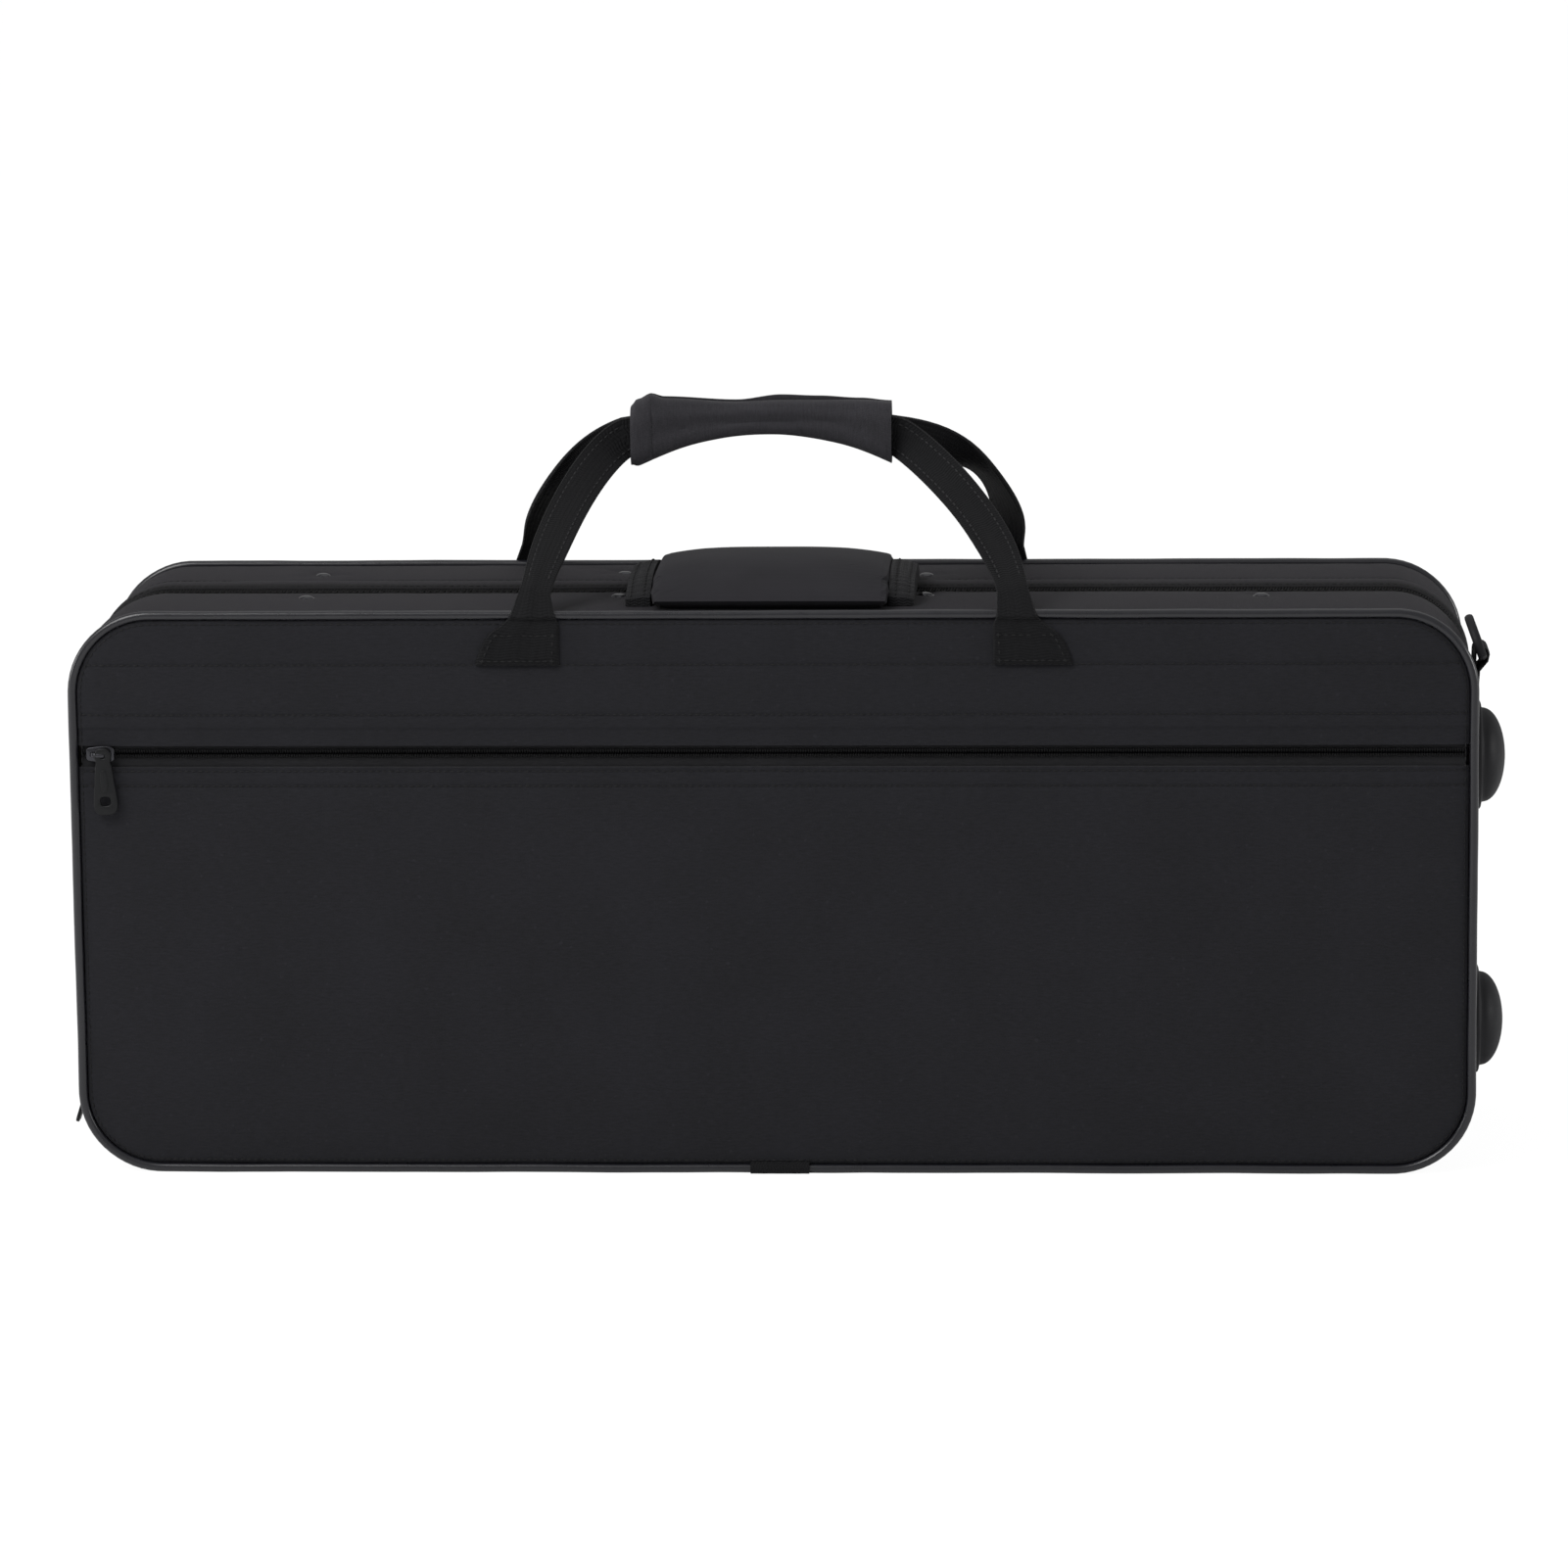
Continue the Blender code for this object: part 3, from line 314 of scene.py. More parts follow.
nylon_pitch = 0.00052
tape_pitch = 0.0004
webbing_sizes = (0.0013, 0.00022)
panel_cloth = cloth("panel nylon", shade(31, 31, 35), nylon_pitch, 0.00010, 0.06, seam_shade_at_edge)
gusset_cloth = cloth("gusset nylon", shade(30, 28, 33), nylon_pitch, 0.00010, 0.04, seam_shade_at_sides)
wrap_cloth = cloth("wrap nylon", shade(50, 49, 53), nylon_pitch, 0.00014, 0.10)
# Painted shade: the pad is the wrap's nylon painted darker, because its top faces the lights
pad_shaded_cloth = cloth("shaded pad nylon", shade(43, 42, 46), nylon_pitch, 0.00014, 0.02)
tape_cloth = cloth("zipper tape", shade(12, 12, 13), tape_pitch, 0.00008, 0.03)
pocket_tape_cloth = cloth("pocket tape", shade(36, 36, 38), tape_pitch, 0.00008, 0.03)
webbing = ribbed("webbing", shade(15, 15, 17), *webbing_sizes)
tab_webbing = ribbed("tab webbing", shade(27, 27, 29), *webbing_sizes)
thread = smooth("sewing thread", shade(9, 9, 11), 0.7, 0.00003, 900)
light_thread = smooth("webbing thread", shade(27, 27, 29), 0.6, 0.00003, 900)
piping_vinyl = smooth("piping vinyl", shade(27, 27, 32), 0.3, 0.00004, 260, coat=0.4)
coil_nylon = smooth("coil nylon", shade(10, 10, 11), 0.55, 0.00002, 700, level=0.2)
slider_metal = smooth("slider metal", shade(66, 66, 70), 0.2, 0.00001, 500, metallic=0.85)
pull_enamel = smooth("pull enamel", shade(12, 13, 15), 0.42, 0.00002, 500, level=0.3)
rivet_metal = smooth("rivet metal", shade(70, 70, 73), 0.16, 0.00001, 500, metallic=0.85)
moulded_plastic = smooth("moulded plastic", shade(24, 24, 27), 0.55, 0.00003, 420, level=0.25)
board = smooth("foam board", shade(70, 66, 60), 0.9, 0.0002, 300)
plush = flocked("plush lining", shade(46, 44, 50))
flock = flocked("flocked foam", shade(34, 34, 39))


# Meshes
class Shape:
    """Points and faces, with a texture place at each corner, gathered before they become a mesh."""

    def __init__(self):
        self.points = []
        self.faces = []
        self.places = []

    def add(self, points, faces, places):
        first = len(self.points)
        self.points += points
        self.faces += [tuple(first + index for index in face) for face in faces]
        self.places += places
        return self


sharp_angle = math.radians(38)


def make(name, paint, *shapes):
    """One object from shapes, faces out and smooth between its sharp edges."""
    whole = Shape()
    for shape in shapes:
        whole.add(shape.points, shape.faces, shape.places)
    mesh = bpy.data.meshes.new(name)
    mesh.from_pydata(whole.points, [], whole.faces)
    layer = mesh.uv_layers.new(name="weave")
    layer.data.foreach_set("uv", [value for place in whole.places for value in place])
    work = bmesh.new()
    work.from_mesh(mesh)
    bmesh.ops.recalc_face_normals(work, faces=work.faces)
    work.to_mesh(mesh)
    work.free()
    mesh.shade_smooth()
    mesh.set_sharp_from_angle(angle=sharp_angle)
    mesh.materials.append(paint)
    return linked(name, mesh)


def settle(piece, body, slot, *nodes):
    """A finished piece rides on its body in place of its CAD nodes."""
    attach(piece, body)
    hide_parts(*nodes)


def running(points, closed):
    """Distance along a line of points."""
    line = [0.0]
    ends = points[1:] + points[:1] if closed else points[1:]
    for first, second in zip(points, ends):
        line.append(line[-1] + (second - first).length)
    return line


def loft(rings, path_closed=False, flat=None):
    """A closed skin over rings of equal count; flat gives a corner's texture place from its point."""
    size = len(rings[0])
    count = len(rings)
    across = running(rings[count // 2], True)
    along = running([ring[0] for ring in rings], path_closed)
    points = [point for ring in rings for point in ring]
    faces = []
    places = []
    for i in range(count if path_closed else count - 1):
        for j in range(size):
            corners = ((i, j), (i, j + 1), (i + 1, j + 1), (i + 1, j))
            face = tuple((a % count) * size + b % size for a, b in corners)
            faces.append(face)
            if flat:
                places += [flat(points[index]) for index in face]
            else:
                places += [(across[b], along[a]) for a, b in corners]
    if not path_closed:
        for start in (0, (count - 1) * size):
            face = tuple(range(start, start + size))
            faces.append(face)
            places += [(points[index].x, points[index].z) for index in face]
    return Shape().add(points, faces, places)


def seen_from_front(point):
    return (point.x, point.z)


def seen_from_above(point):
    return (point.x, point.y)


def spaced(start, end, step):
    count = max(1, round(abs(end - start) / step))
    return [start + (end - start) * index / count for index in range(count + 1)]


def turns(count):
    """Angles of a full turn in equal steps."""
    return [2 * math.pi * index / count for index in range(count)]


def eased(count):
    """Shares from 0 to 1, closer together at both ends."""
    return [0.5 - 0.5 * math.cos(math.pi * index / count) for index in range(count + 1)]


def smoothstep(low, high, value):
    share = min(max((value - low) / (high - low), 0.0), 1.0)
    return share * share * (3 - 2 * share)


def hill(value, width):
    return math.exp(-(value / width) ** 2)


def keyed(table, value):
    """A smooth curve through a table's pairs."""
    for (first, low), (second, high) in zip(table, table[1:]):
        if value <= second:
            return low + (high - low) * smoothstep(first, second, value)
    return table[-1][1]


def ripple(x, y, z, scale, seed=0.0):
    return noise.noise(Vector((x * scale + seed, y * scale, z * scale - seed)))


# Places round the outline
def bearing(angle):
    return Vector((math.cos(angle), 0, math.sin(angle)))


def outline_at(distance):
    """Point and outward normal at a distance that starts at the bottom's middle and goes by the right end."""
    place = Vector((0, 0, 0))
    heading = 0.0
    left = distance % perimeter
    for straight in straights:
        step = min(left, straight)
        place = place + bearing(heading) * step
        left -= step
        if left <= 0:
            break
        turn = min(left, quarter) / corner
        centre = place + bearing(heading + math.pi / 2) * corner
        heading += turn
        place = centre - bearing(heading + math.pi / 2) * corner
        left -= turn * corner
        if left <= 0:
            break
    return place, bearing(heading - math.pi / 2)


def around(distance, inset, y):
    place, outward = outline_at(distance)
    place = place - outward * inset
    place.y = y
    return place


def half_width(z, inset):
    """Half the width of the outline at one height."""
    fall = max(corner - z, z - (height - corner), 0)
    reach = corner - inset
    return flat_half + math.sqrt(max(reach ** 2 - fall ** 2, 0))


def edge_distance(x, z):
    """How far inside the outline a point lies."""
    over_x = abs(x) - flat_half
    over_z = abs(z - height / 2) - side_run / 2
    outside = math.hypot(max(over_x, 0), max(over_z, 0))
    return corner - outside - min(max(over_x, over_z), 0)


# Cloth round the sides
lid_rivets = ((-0.216, -0.028), (-0.072, -0.0245), (0.069, -0.022), (0.223, -0.026))
base_rivets = ((-0.216, 0.041), (-0.074, 0.045), (0.068, 0.038))
rivet_sink = 1.0 * mm


def band(step, span, y_range, inset, thickness, lift, columns=20):
    """A strip of cloth round the outline; lift raises its face at a place."""
    near, far = y_range
    closed = span[1] - span[0] > perimeter - step / 2
    distances = spaced(*span, step)
    if closed:
        distances.pop()
    rings = []
    for distance in distances:
        ring = []
        for share in eased(columns):
            y = near + (far - near) * share
            ring.append(around(distance, inset - lift(distance, y, share), y))
        for share in (1.0, 0.5, 0.0):
            ring.append(around(distance, inset + thickness, near + (far - near) * share))
        rings.append(ring)
    return loft(rings, path_closed=closed)


def gusset_lift(rivets, puff, width, drawn, seed):
    """Puffed over the board, drawn in at both seams, dimpled and puckered round each rivet."""

    def lift(distance, y, share):
        place = around(distance, 0, y)
        edge = min(share, 1 - share) * width
        rise = puff * math.sin(math.pi * share) - drawn * math.exp(-edge / 0.0020)
        rise += 0.35 * mm * ripple(place.x, y, place.z, 14, seed) * min(edge / 0.006, 1)
        rise += 0.22 * mm * ripple(place.x, y * 0.4, place.z, 95, seed) * math.exp(-edge / 0.007)
        if place.z > height - 1 * mm:
            for x, rivet_y in rivets:
                gap = math.hypot(place.x - x, y - rivet_y)
                if gap < 0.04:
                    turn = math.atan2(y - rivet_y, place.x - x)
                    rise -= rivet_sink * hill(gap, 0.0062)
                    rise += 0.25 * mm * hill(gap - 0.008, 0.006) * math.cos(5 * turn + x * 40)
        return rise

    return lift


gusset_sizes = (1.8 * mm, 1.5 * mm)
strip_sizes = (1.2 * mm, 1.2 * mm)
tape_sizes = (3.5 * mm, 0.8 * mm)
lid_lift = gusset_lift(lid_rivets, 0.9 * mm, 0.0663, 1.1 * mm, 3.1)
base_lift = gusset_lift(base_rivets, 1.0 * mm, 0.0532, 1.1 * mm, 8.4)
strip_lift = gusset_lift((), 0.9 * mm, 0.0208, 0.8 * mm, 5.7)
gussets = (("lid_gusset", "lid", 0.004, full_span, (-0.0755, -0.0092), *gusset_sizes, lid_lift),
           ("base_gusset", "base", 0.004, full_span, (0.0223, 0.0755), *gusset_sizes, base_lift),
           ("base_edge_strip", "base", 0.003, open_span, (0.0012, 0.0220), *strip_sizes, strip_lift, 14))
for name, body, *sizes in gussets:
    settle(make(name + "_cloth", gusset_cloth, band(*sizes)), body, "gusset_cloth", name)


# Main zipper
def still(distance, y, share):
    return 0.0


for half_name, y_range in (("lid", (-0.0130, -0.0044)), ("base", (-0.0036, 0.0050))):
    name = "zipper_tape_" + half_name
    tape = band(0.004, open_span, y_range, *tape_sizes, still, 4)
    settle(make(name + "_cloth", tape_cloth, tape), half_name, "tape_cloth", name)


# Rows of beads: stitches and coil teeth
def bead_tree():
    """Beads along the edges of a mesh, turned to each point's facing."""
    tree = bpy.data.node_groups.new("row of beads", "GeometryNodeTree")
    sizes = ("Pitch", "Length", "Width", "Height", "Least", "Most")
    kinds = {"Path": "Geometry", **dict.fromkeys(sizes, "Float"), "Seed": "Int", "Material": "Material"}
    for name, kind in kinds.items():
        tree.interface.new_socket(name, in_out="INPUT", socket_type="NodeSocket" + kind)
    tree.interface.new_socket("Beads", in_out="OUTPUT", socket_type="NodeSocketGeometry")

    def node(kind, settings=None, numbered=None, **named):
        return add_node(tree, kind, settings, {**(numbered or {}), **named})

    given = node("NodeGroupInput").outputs
    curve = node("GeometryNodeMeshToCurve", Mesh=given["Path"])
    even = node("GeometryNodeResampleCurve", {"mode": "LENGTH"},
                Curve=curve.outputs[0], Length=given["Pitch"])
    tangent = node("GeometryNodeInputTangent")
    upward = node("GeometryNodeInputNamedAttribute", {"data_type": "FLOAT_VECTOR"}, Name="facing")
    lying = node("FunctionNodeAlignRotationToVector", {"axis": "X"}, Vector=tangent.outputs[0])
    turned = node("FunctionNodeAlignRotationToVector", {"axis": "Z", "pivot_axis": "X"},
                  Rotation=lying.outputs[0], Vector=upward.outputs[0])
    bead = node("GeometryNodeMeshUVSphere", Segments=8, Rings=5, Radius=0.5)
    size = node("ShaderNodeCombineXYZ", X=given["Length"], Y=given["Width"], Z=given["Height"])
    chance = node("FunctionNodeRandomValue", {"data_type": "FLOAT"},
                  {2: given["Least"], 3: given["Most"]}, Seed=given["Seed"])
    varied = node("ShaderNodeVectorMath", {"operation": "SCALE"},
                  {0: size.outputs[0]}, Scale=chance.outputs[1])
    placed = node("GeometryNodeInstanceOnPoints", Points=even.outputs[0], Instance=bead.outputs["Mesh"],
                  Rotation=turned.outputs[0], Scale=varied.outputs[0])
    real = node("GeometryNodeRealizeInstances", Geometry=placed.outputs[0])
    smoothed = node("GeometryNodeSetShadeSmooth", Geometry=real.outputs[0])
    painted = node("GeometryNodeSetMaterial", Geometry=smoothed.outputs[0], Material=given["Material"])
    node("NodeGroupOutput", None, {0: painted.outputs[0]})
    return tree


beads = bead_tree()
bead_sockets = {item.name: item.identifier for item in beads.interface.items_tree if item.in_out == "INPUT"}


def bead_rows(name, body, slot, rows, paint, pitch, size, spread, *nodes):
    """All rows of one kind on one body, as a plain mesh; a row is its points and facings."""
    points = []
    facings = []
    edges = []
    for row in rows:
        first = len(points)
        points += [point for point, facing in row]
        facings += [value for point, facing in row for value in facing]
        edges += [(first + index, first + index + 1) for index in range(len(row) - 1)]
    path = bpy.data.meshes.new(name + "_path")
    path.from_pydata(points, edges, [])
    path.attributes.new("facing", "FLOAT_VECTOR", "POINT").data.foreach_set("vector", facings)
    host = linked(name + "_host", path)
    modifier = host.modifiers.new("beads", "NODES")
    modifier.node_group = beads
    settings = {"Pitch": pitch, "Length": size[0], "Width": size[1], "Height": size[2],
                "Least": 1 - spread, "Most": 1 + spread, "Seed": 7, "Material": paint}
    for key, value in settings.items():
        modifier[bead_sockets[key]] = value
    bpy.context.view_layer.update()
    mesh = plain_mesh(host)
    mesh.name = name
    bpy.data.objects.remove(host)
    settle(linked(name, mesh), body, slot, *nodes)


row_step = 0.004


def outline_row(span, inset, y):
    """A row round the bag that faces outward."""
    return [(around(distance, inset, y), outline_at(distance)[1]) for distance in spaced(*span, row_step)]


tooth_pitch = 1.35 * mm
tooth = (0.95 * mm, 3.0 * mm, 1.5 * mm)
tooth_spread = 0.03
coil_inset = 2.45 * mm
for half_name, shift, y in (("lid", 0, -0.0058), ("base", tooth_pitch / 2, -0.0022)):
    row = outline_row((open_span[0] + shift, open_span[1]), coil_inset, y)
    bead_rows("zipper_teeth_" + half_name, half_name, "coil_nylon", [row],
              coil_nylon, tooth_pitch, tooth, tooth_spread, "zipper_coil_" + half_name)


# Piping
def piping(side):
    """A vinyl tube round one face, a little uneven where it was sewn."""
    radius = 2.1 * mm
    rings = []
    for distance in spaced(0, perimeter, 0.004)[:-1]:
        place, outward = outline_at(distance)
        thick = radius * (1 + 0.05 * ripple(place.x, side, place.z, 60))
        sway = 0.25 * mm * ripple(place.x, side * 3, place.z, 22)
        ring = []
        for angle in turns(16):
            inset = radius - thick * math.cos(angle) + sway
            ring.append(around(distance, inset, side * (piping_y + thick * math.sin(angle))))
        rings.append(ring)
    return loft(rings, path_closed=True)


def piping_tab(side):
    """Webbing folded over the join of the piping, at the bottom."""
    rings = []
    for x in spaced(-0.011, 0.016, 0.003):
        ring = []
        for radius, angles in ((3.2 * mm, range(100, -41, -10)), (2.3 * mm, range(-40, 101, 10))):
            for angle in angles:
                turn = math.radians(angle)
                reach = radius + 0.1 * mm * ripple(x, angle / 60, side, 200)
                ring.append(Vector((x, side * (piping_y + reach * math.cos(turn)),
                                    max(2.1 * mm + reach * math.sin(turn), 0))))
        rings.append(ring)
    return loft(rings)


faces = ((-1, "lid", "front"), (1, "base", "back"))
for side, half_name, face in faces:
    name = face + "_piping"
    settle(make(name + "_tube", piping_vinyl, piping(side)), half_name, "piping_vinyl", name)
for side, half_name, face in faces:
    settle(make(face + "_tab", webbing, piping_tab(side)), half_name, "webbing", face + "_piping_tab")


# Panels
panel_inset = 4.4 * mm
panel_face = 0.0788
seam_dip = 1.1 * mm
slot_z = 0.1955
flap_z = 0.2073
upper_rows = (0.2365, 0.2136)
lower_rows = (0.1875, 0.1807)
front_rows = upper_rows + lower_rows


def front_panel_y(x, z):
    """Front face of the panels: drawn in at the piping, puffed over the padding, sunk at each row."""
    edge = edge_distance(x, z) - panel_inset
    taut = 1 - math.exp(-abs(z - slot_z) / 0.028)
    rise = 2.6 * mm * (1 - math.exp(-max(edge, 0) / 0.014)) * (0.35 + 0.65 * taut)
    rise -= seam_dip * math.exp(-max(edge, 0) / 0.0014)
    rise += 0.45 * mm * ripple(x, 0.4, z, 8) * taut
    rise += 0.16 * mm * ripple(x * 0.5, 2.0, z * 1.6, 34) * taut
    for row in front_rows:
        rise -= 0.35 * mm * hill(z - row, 0.0011)
        rise += 0.18 * mm * hill(z - row, 0.006) * ripple(x, 3.0, row, 120)
    rise += 0.55 * mm * smoothstep(flap_z - 0.5 * mm, flap_z + 0.5 * mm, z)
    return -panel_face - rise


def back_panel_y(x, z):
    edge = edge_distance(x, z) - panel_inset
    rise = 1.9 * mm * (1 - math.exp(-max(edge, 0) / 0.05))
    rise -= seam_dip * math.exp(-max(edge, 0) / 0.0030)
    rise += 0.5 * mm * ripple(x, 5.0, z, 7) + 0.15 * mm * ripple(x * 0.6, 1.0, z * 1.5, 30)
    return panel_face + rise


def rows_between(bottom, top, step, close_to):
    """Heights for a panel's rows, closer together near its seams."""
    heights = set(spaced(bottom, top, step))
    for middle in close_to:
        for offset in (-2.2, -1.1, -0.5, 0, 0.5, 1.1, 2.2):
            heights.add(middle + offset * mm)
    for edge, way in ((bottom, 1), (top, -1)):
        for offset in (0.4, 1.0, 2.0, 3.5):
            heights.add(edge + way * offset * mm)
    for step_index in range(1, 12):
        fall = math.cos(math.pi / 2 * step_index / 12)
        if bottom < corner:
            heights.add(corner - (corner - bottom) * fall)
        if top > height - corner:
            heights.add(height - corner + (top - height + corner) * fall)
    ordered = []
    for value in sorted(heights):
        if bottom <= value <= top and (not ordered or value - ordered[-1] > 0.3 * mm):
            ordered.append(value)
    ordered[-1] = top
    return ordered


def panel(heights, inset, face_y, back_y, columns=110, half=None):
    """A sheet across the bag, row by row; face_y gives the shown face."""
    ends = (0, 0.4 * mm, 1.0 * mm, 2.2 * mm, 4.0 * mm, 6.5 * mm)
    rings = []
    for z in heights:
        reach = half if half else half_width(z, inset)
        inner = reach - 10 * mm
        places = [offset - reach for offset in ends]
        places += spaced(-inner, inner, 2 * inner / columns)
        places += [reach - offset for offset in reversed(ends)]
        ring = [Vector((x, face_y(x, z), z)) for x in places]
        ring += [Vector((x, back_y, z)) for x in (reach, 0, -reach)]
        rings.append(ring)
    return loft(rings, flat=seen_from_front)


panel_top = height - panel_inset
lower_heights = rows_between(panel_inset, 0.1893, 0.006, lower_rows)
upper_heights = rows_between(0.1992, panel_top, 0.005, (*upper_rows, flap_z))
back_heights = rows_between(panel_inset, panel_top, 0.007, ())
panels = (("pocket_panel", "lid", lower_heights, front_panel_y, -0.0773),
          ("upper_panel", "lid", upper_heights, front_panel_y, -0.0723),
          ("back_panel", "base", back_heights, back_panel_y, 0.0758))
for name, body, heights, face_y, back_y in panels:
    sheet = panel(heights, panel_inset, face_y, back_y)
    settle(make(name + "_cloth", panel_cloth, sheet), body, "panel_cloth", name)
pocket_half = 0.314
for name, heights in (("pocket_tape_upper", (0.1963, 0.1973, 0.1976, 0.1989)),
                      ("pocket_tape_lower", (0.1892, 0.1910, 0.1930, 0.1947))):
    sheet = panel(heights, 0, lambda x, z: -0.0776, -0.0768, 40, pocket_half)
    settle(make(name + "_cloth", pocket_tape_cloth, sheet), "lid", "tape_cloth", name)
pocket_heights = rows_between(panel_inset, panel_top, 0.02, ())
sheet = panel(pocket_heights, panel_inset, lambda x, z: -0.0720, -0.0708, 40)
settle(make("pocket_back_plush", plush, sheet), "lid", "plush", "pocket_back")


def level_row(z, y, start, end):
    """A row along X that faces the front; y gives its depth at x and z."""
    return [(Vector((x, y(x, z), z)), (0, -1, 0)) for x in spaced(start, end, row_step)]


pocket_pitch = 1.15 * mm
pocket_tooth = (0.8 * mm, 2.2 * mm, 1.2 * mm)
for part, z, shift in (("upper", 0.19665, 0), ("lower", 0.19435, pocket_pitch / 2)):
    row = level_row(z, lambda x, z: -0.0784, -pocket_half + shift, pocket_half)
    bead_rows("pocket_teeth_" + part, "lid", "coil_nylon", [row], coil_nylon,
              pocket_pitch, pocket_tooth, tooth_spread, "pocket_coil_" + part)


# Handles
strap_width = 18 * mm
strap_thickness = 2.5 * mm
foot_y = 0.0830
foot_z = 0.26255
grip_y = 2.3 * mm
grip_left = -0.069
grip_right = 0.056
grip_low = 0.331
grip_fall = 13.5 * mm
grip_wall = 3.5 * mm
grip_fold = 0.53
knee_share = 0.45
# Each leg: its foot, how far its knee and its shoulder reach towards the grip, how far the shoulder drops,
# its twist in degrees and how far its patch reaches on the inner side, in mm
front_legs = ((-0.1075, 0.15, 0.6, 7.7, 0, 12.2), (0.111, 0.03, 0.85, 3.5, 0, 9.8))
back_legs = ((-0.119, 0.1, 0.5, 9.0, 20, 11.5), (0.105, -0.12, 0.1, 6.0, 38, 11.5))
bend_steps = 30


def grip_station(side, x):
    """Centre of the webbing in the grip and half its width, folded towards the middle."""
    share = (2 * x - grip_left - grip_right) / (grip_right - grip_left)
    half = strap_width / 2 * (grip_fold + (1 - grip_fold) * share ** 2)
    return Vector((x, side * grip_y, grip_low - grip_fall * share ** 2 + grip_wall + half)), half


def strap_bend(side, leg, grip_x):
    """Centre, facing and half width of each station from a foot up to the grip."""
    foot_x, knee_reach, shoulder_reach, drop, twist, _ = leg
    foot = Vector((foot_x, side * foot_y, foot_z))
    grip = grip_station(side, grip_x)[0]
    knee = foot.lerp(grip, knee_share)
    knee.x = foot_x + (grip_x - foot_x) * knee_reach
    shoulder = grip.copy()
    shoulder.x = foot_x + (grip_x - foot_x) * shoulder_reach
    shoulder.z -= drop * mm
    lean = math.atan2(foot_y - grip_y, grip.z - foot_z)
    stations = []
    for step in range(bend_steps + 1):
        share = step / bend_steps
        rest = 1 - share
        centre = (foot * rest ** 3 + knee * (3 * rest ** 2 * share)
                  + shoulder * (3 * rest * share ** 2) + grip * share ** 3)
        angle = lean * (1 - smoothstep(0, 1, share))
        aside = math.radians(twist) * math.sin(math.pi * share)
        facing = Vector((math.copysign(math.sin(aside), foot_x), side * math.cos(angle) * math.cos(aside),
                         math.sin(angle) * math.cos(aside)))
        rise = (centre.z - foot_z) / (grip.z - foot_z)
        half = strap_width / 2 * (1 - 0.2 * hill(rise - 0.12, 0.17))
        stations.append((centre, facing, half))
    return stations


def strap_frames(side, legs):
    """Every station of a handle with its across and outward directions and half width."""
    stations = strap_bend(side, legs[0], grip_left)[:-1]
    for x in spaced(grip_left, grip_right, 0.006):
        centre, half = grip_station(side, x)
        stations.append((centre, Vector((0, side, 0)), half))
    stations += strap_bend(side, legs[1], grip_right)[-2::-1]
    frames = []
    for index, (centre, facing, half) in enumerate(stations):
        before = stations[max(index - 1, 0)][0]
        after = stations[min(index + 1, len(stations) - 1)][0]
        along = (after - before).normalized()
        across = facing.cross(along).normalized()
        outward = along.cross(across).normalized()
        frames.append((centre, across, outward, half))
    return frames


strap_shares = (-1.0, -0.94, -0.8, -0.5, -0.2, 0.0, 0.2, 0.5, 0.8, 0.94, 1.0)
# Height of a patch's outer edge and its reach from the foot, in mm
patch_rows = ((236.8, 26.0), (239, 25.4), (241.7, 24.4), (247, 22.3), (251.3, 19.2), (253, 16.2),
              (254.9, 13.2), (257, 11.2), (258.7, 10))
patch_thickness = 1.7 * mm
patch_over = 0.0805


def patch_y(side, x, z):
    """Where a patch lies: on the panel, then over the piping."""
    base = -front_panel_y(x, z) if side < 0 else back_panel_y(x, z)
    return max(base + 0.2 * mm, patch_over * smoothstep(0.248, 0.258, z))


def patch_place(side, leg, z, share):
    """A place across a patch; share runs from -1 on its inner edge to 1 on its outer edge."""
    outward = -1 if leg[0] < 0 else 1
    outer = keyed(patch_rows, z / mm)
    inner = leg[5] - 1.6 * smoothstep(0.254, 0.259, z)
    x = leg[0] + outward * ((outer - inner) / 2 + share * (outer + inner) / 2) * mm
    return Vector((x, side * patch_y(side, x, z), z))


def patch_ring(side, leg, z):
    """The webbing opened flat at one height, with the folds that run up into the strap."""
    ring = []
    for way in (1, -1):
        for share in strap_shares:
            place = patch_place(side, leg, z, -side * share * way)
            if way > 0:
                out_share = -side * share
                upper = smoothstep(0.242, 0.257, z)
                fold = 1.0 * mm * hill(out_share - 0.3, 0.2) * upper
                fold += 0.7 * mm * hill(out_share + 0.45 - (z - 0.25) * 30, 0.2) * upper
                soft = 0.5 if abs(share) == 1 else 1.0
                wave = 0.2 * mm * ripple(place.x, side, z, 90)
                place.y += side * (patch_thickness + fold + wave) * soft
            ring.append(place)
    return ring


def strap_ring(side, centre, across, outward, half):
    """Webbing with firm edges, folded above its foot."""
    rise = (centre.z - foot_z) / (grip_low - foot_z)
    ring = []
    for way in (1, -1):
        for share in strap_shares:
            share = share * way
            firm = 0.86 if abs(share) > 0.97 else 1.0
            thick = strap_thickness / 2 * firm * (1 - 0.14 * hill(abs(share) - 0.8, 0.07))
            thick *= 0.25 if abs(share) == 1 else 1.0
            wave = 0.25 * mm * ripple(centre.x, share * 0.3 + side, centre.z, 40)
            fold = 0.9 * mm * hill(side * share + 0.3, 0.25) * hill(rise, 0.25) * max(way, 0)
            ring.append(centre + across * (half * share) + outward * (way * thick + wave + fold))
    return ring


def strap(side, legs):
    """One length of webbing from patch to patch."""
    heights = spaced(patch_rows[0][0] * mm, patch_rows[-1][0] * mm, 1.6 * mm)
    rings = [patch_ring(side, legs[0], z) for z in heights]
    rings += [strap_ring(side, *frame_here) for frame_here in strap_frames(side, legs)[2:-2]]
    rings += [patch_ring(side, legs[1], z) for z in reversed(heights)]
    return loft(rings)


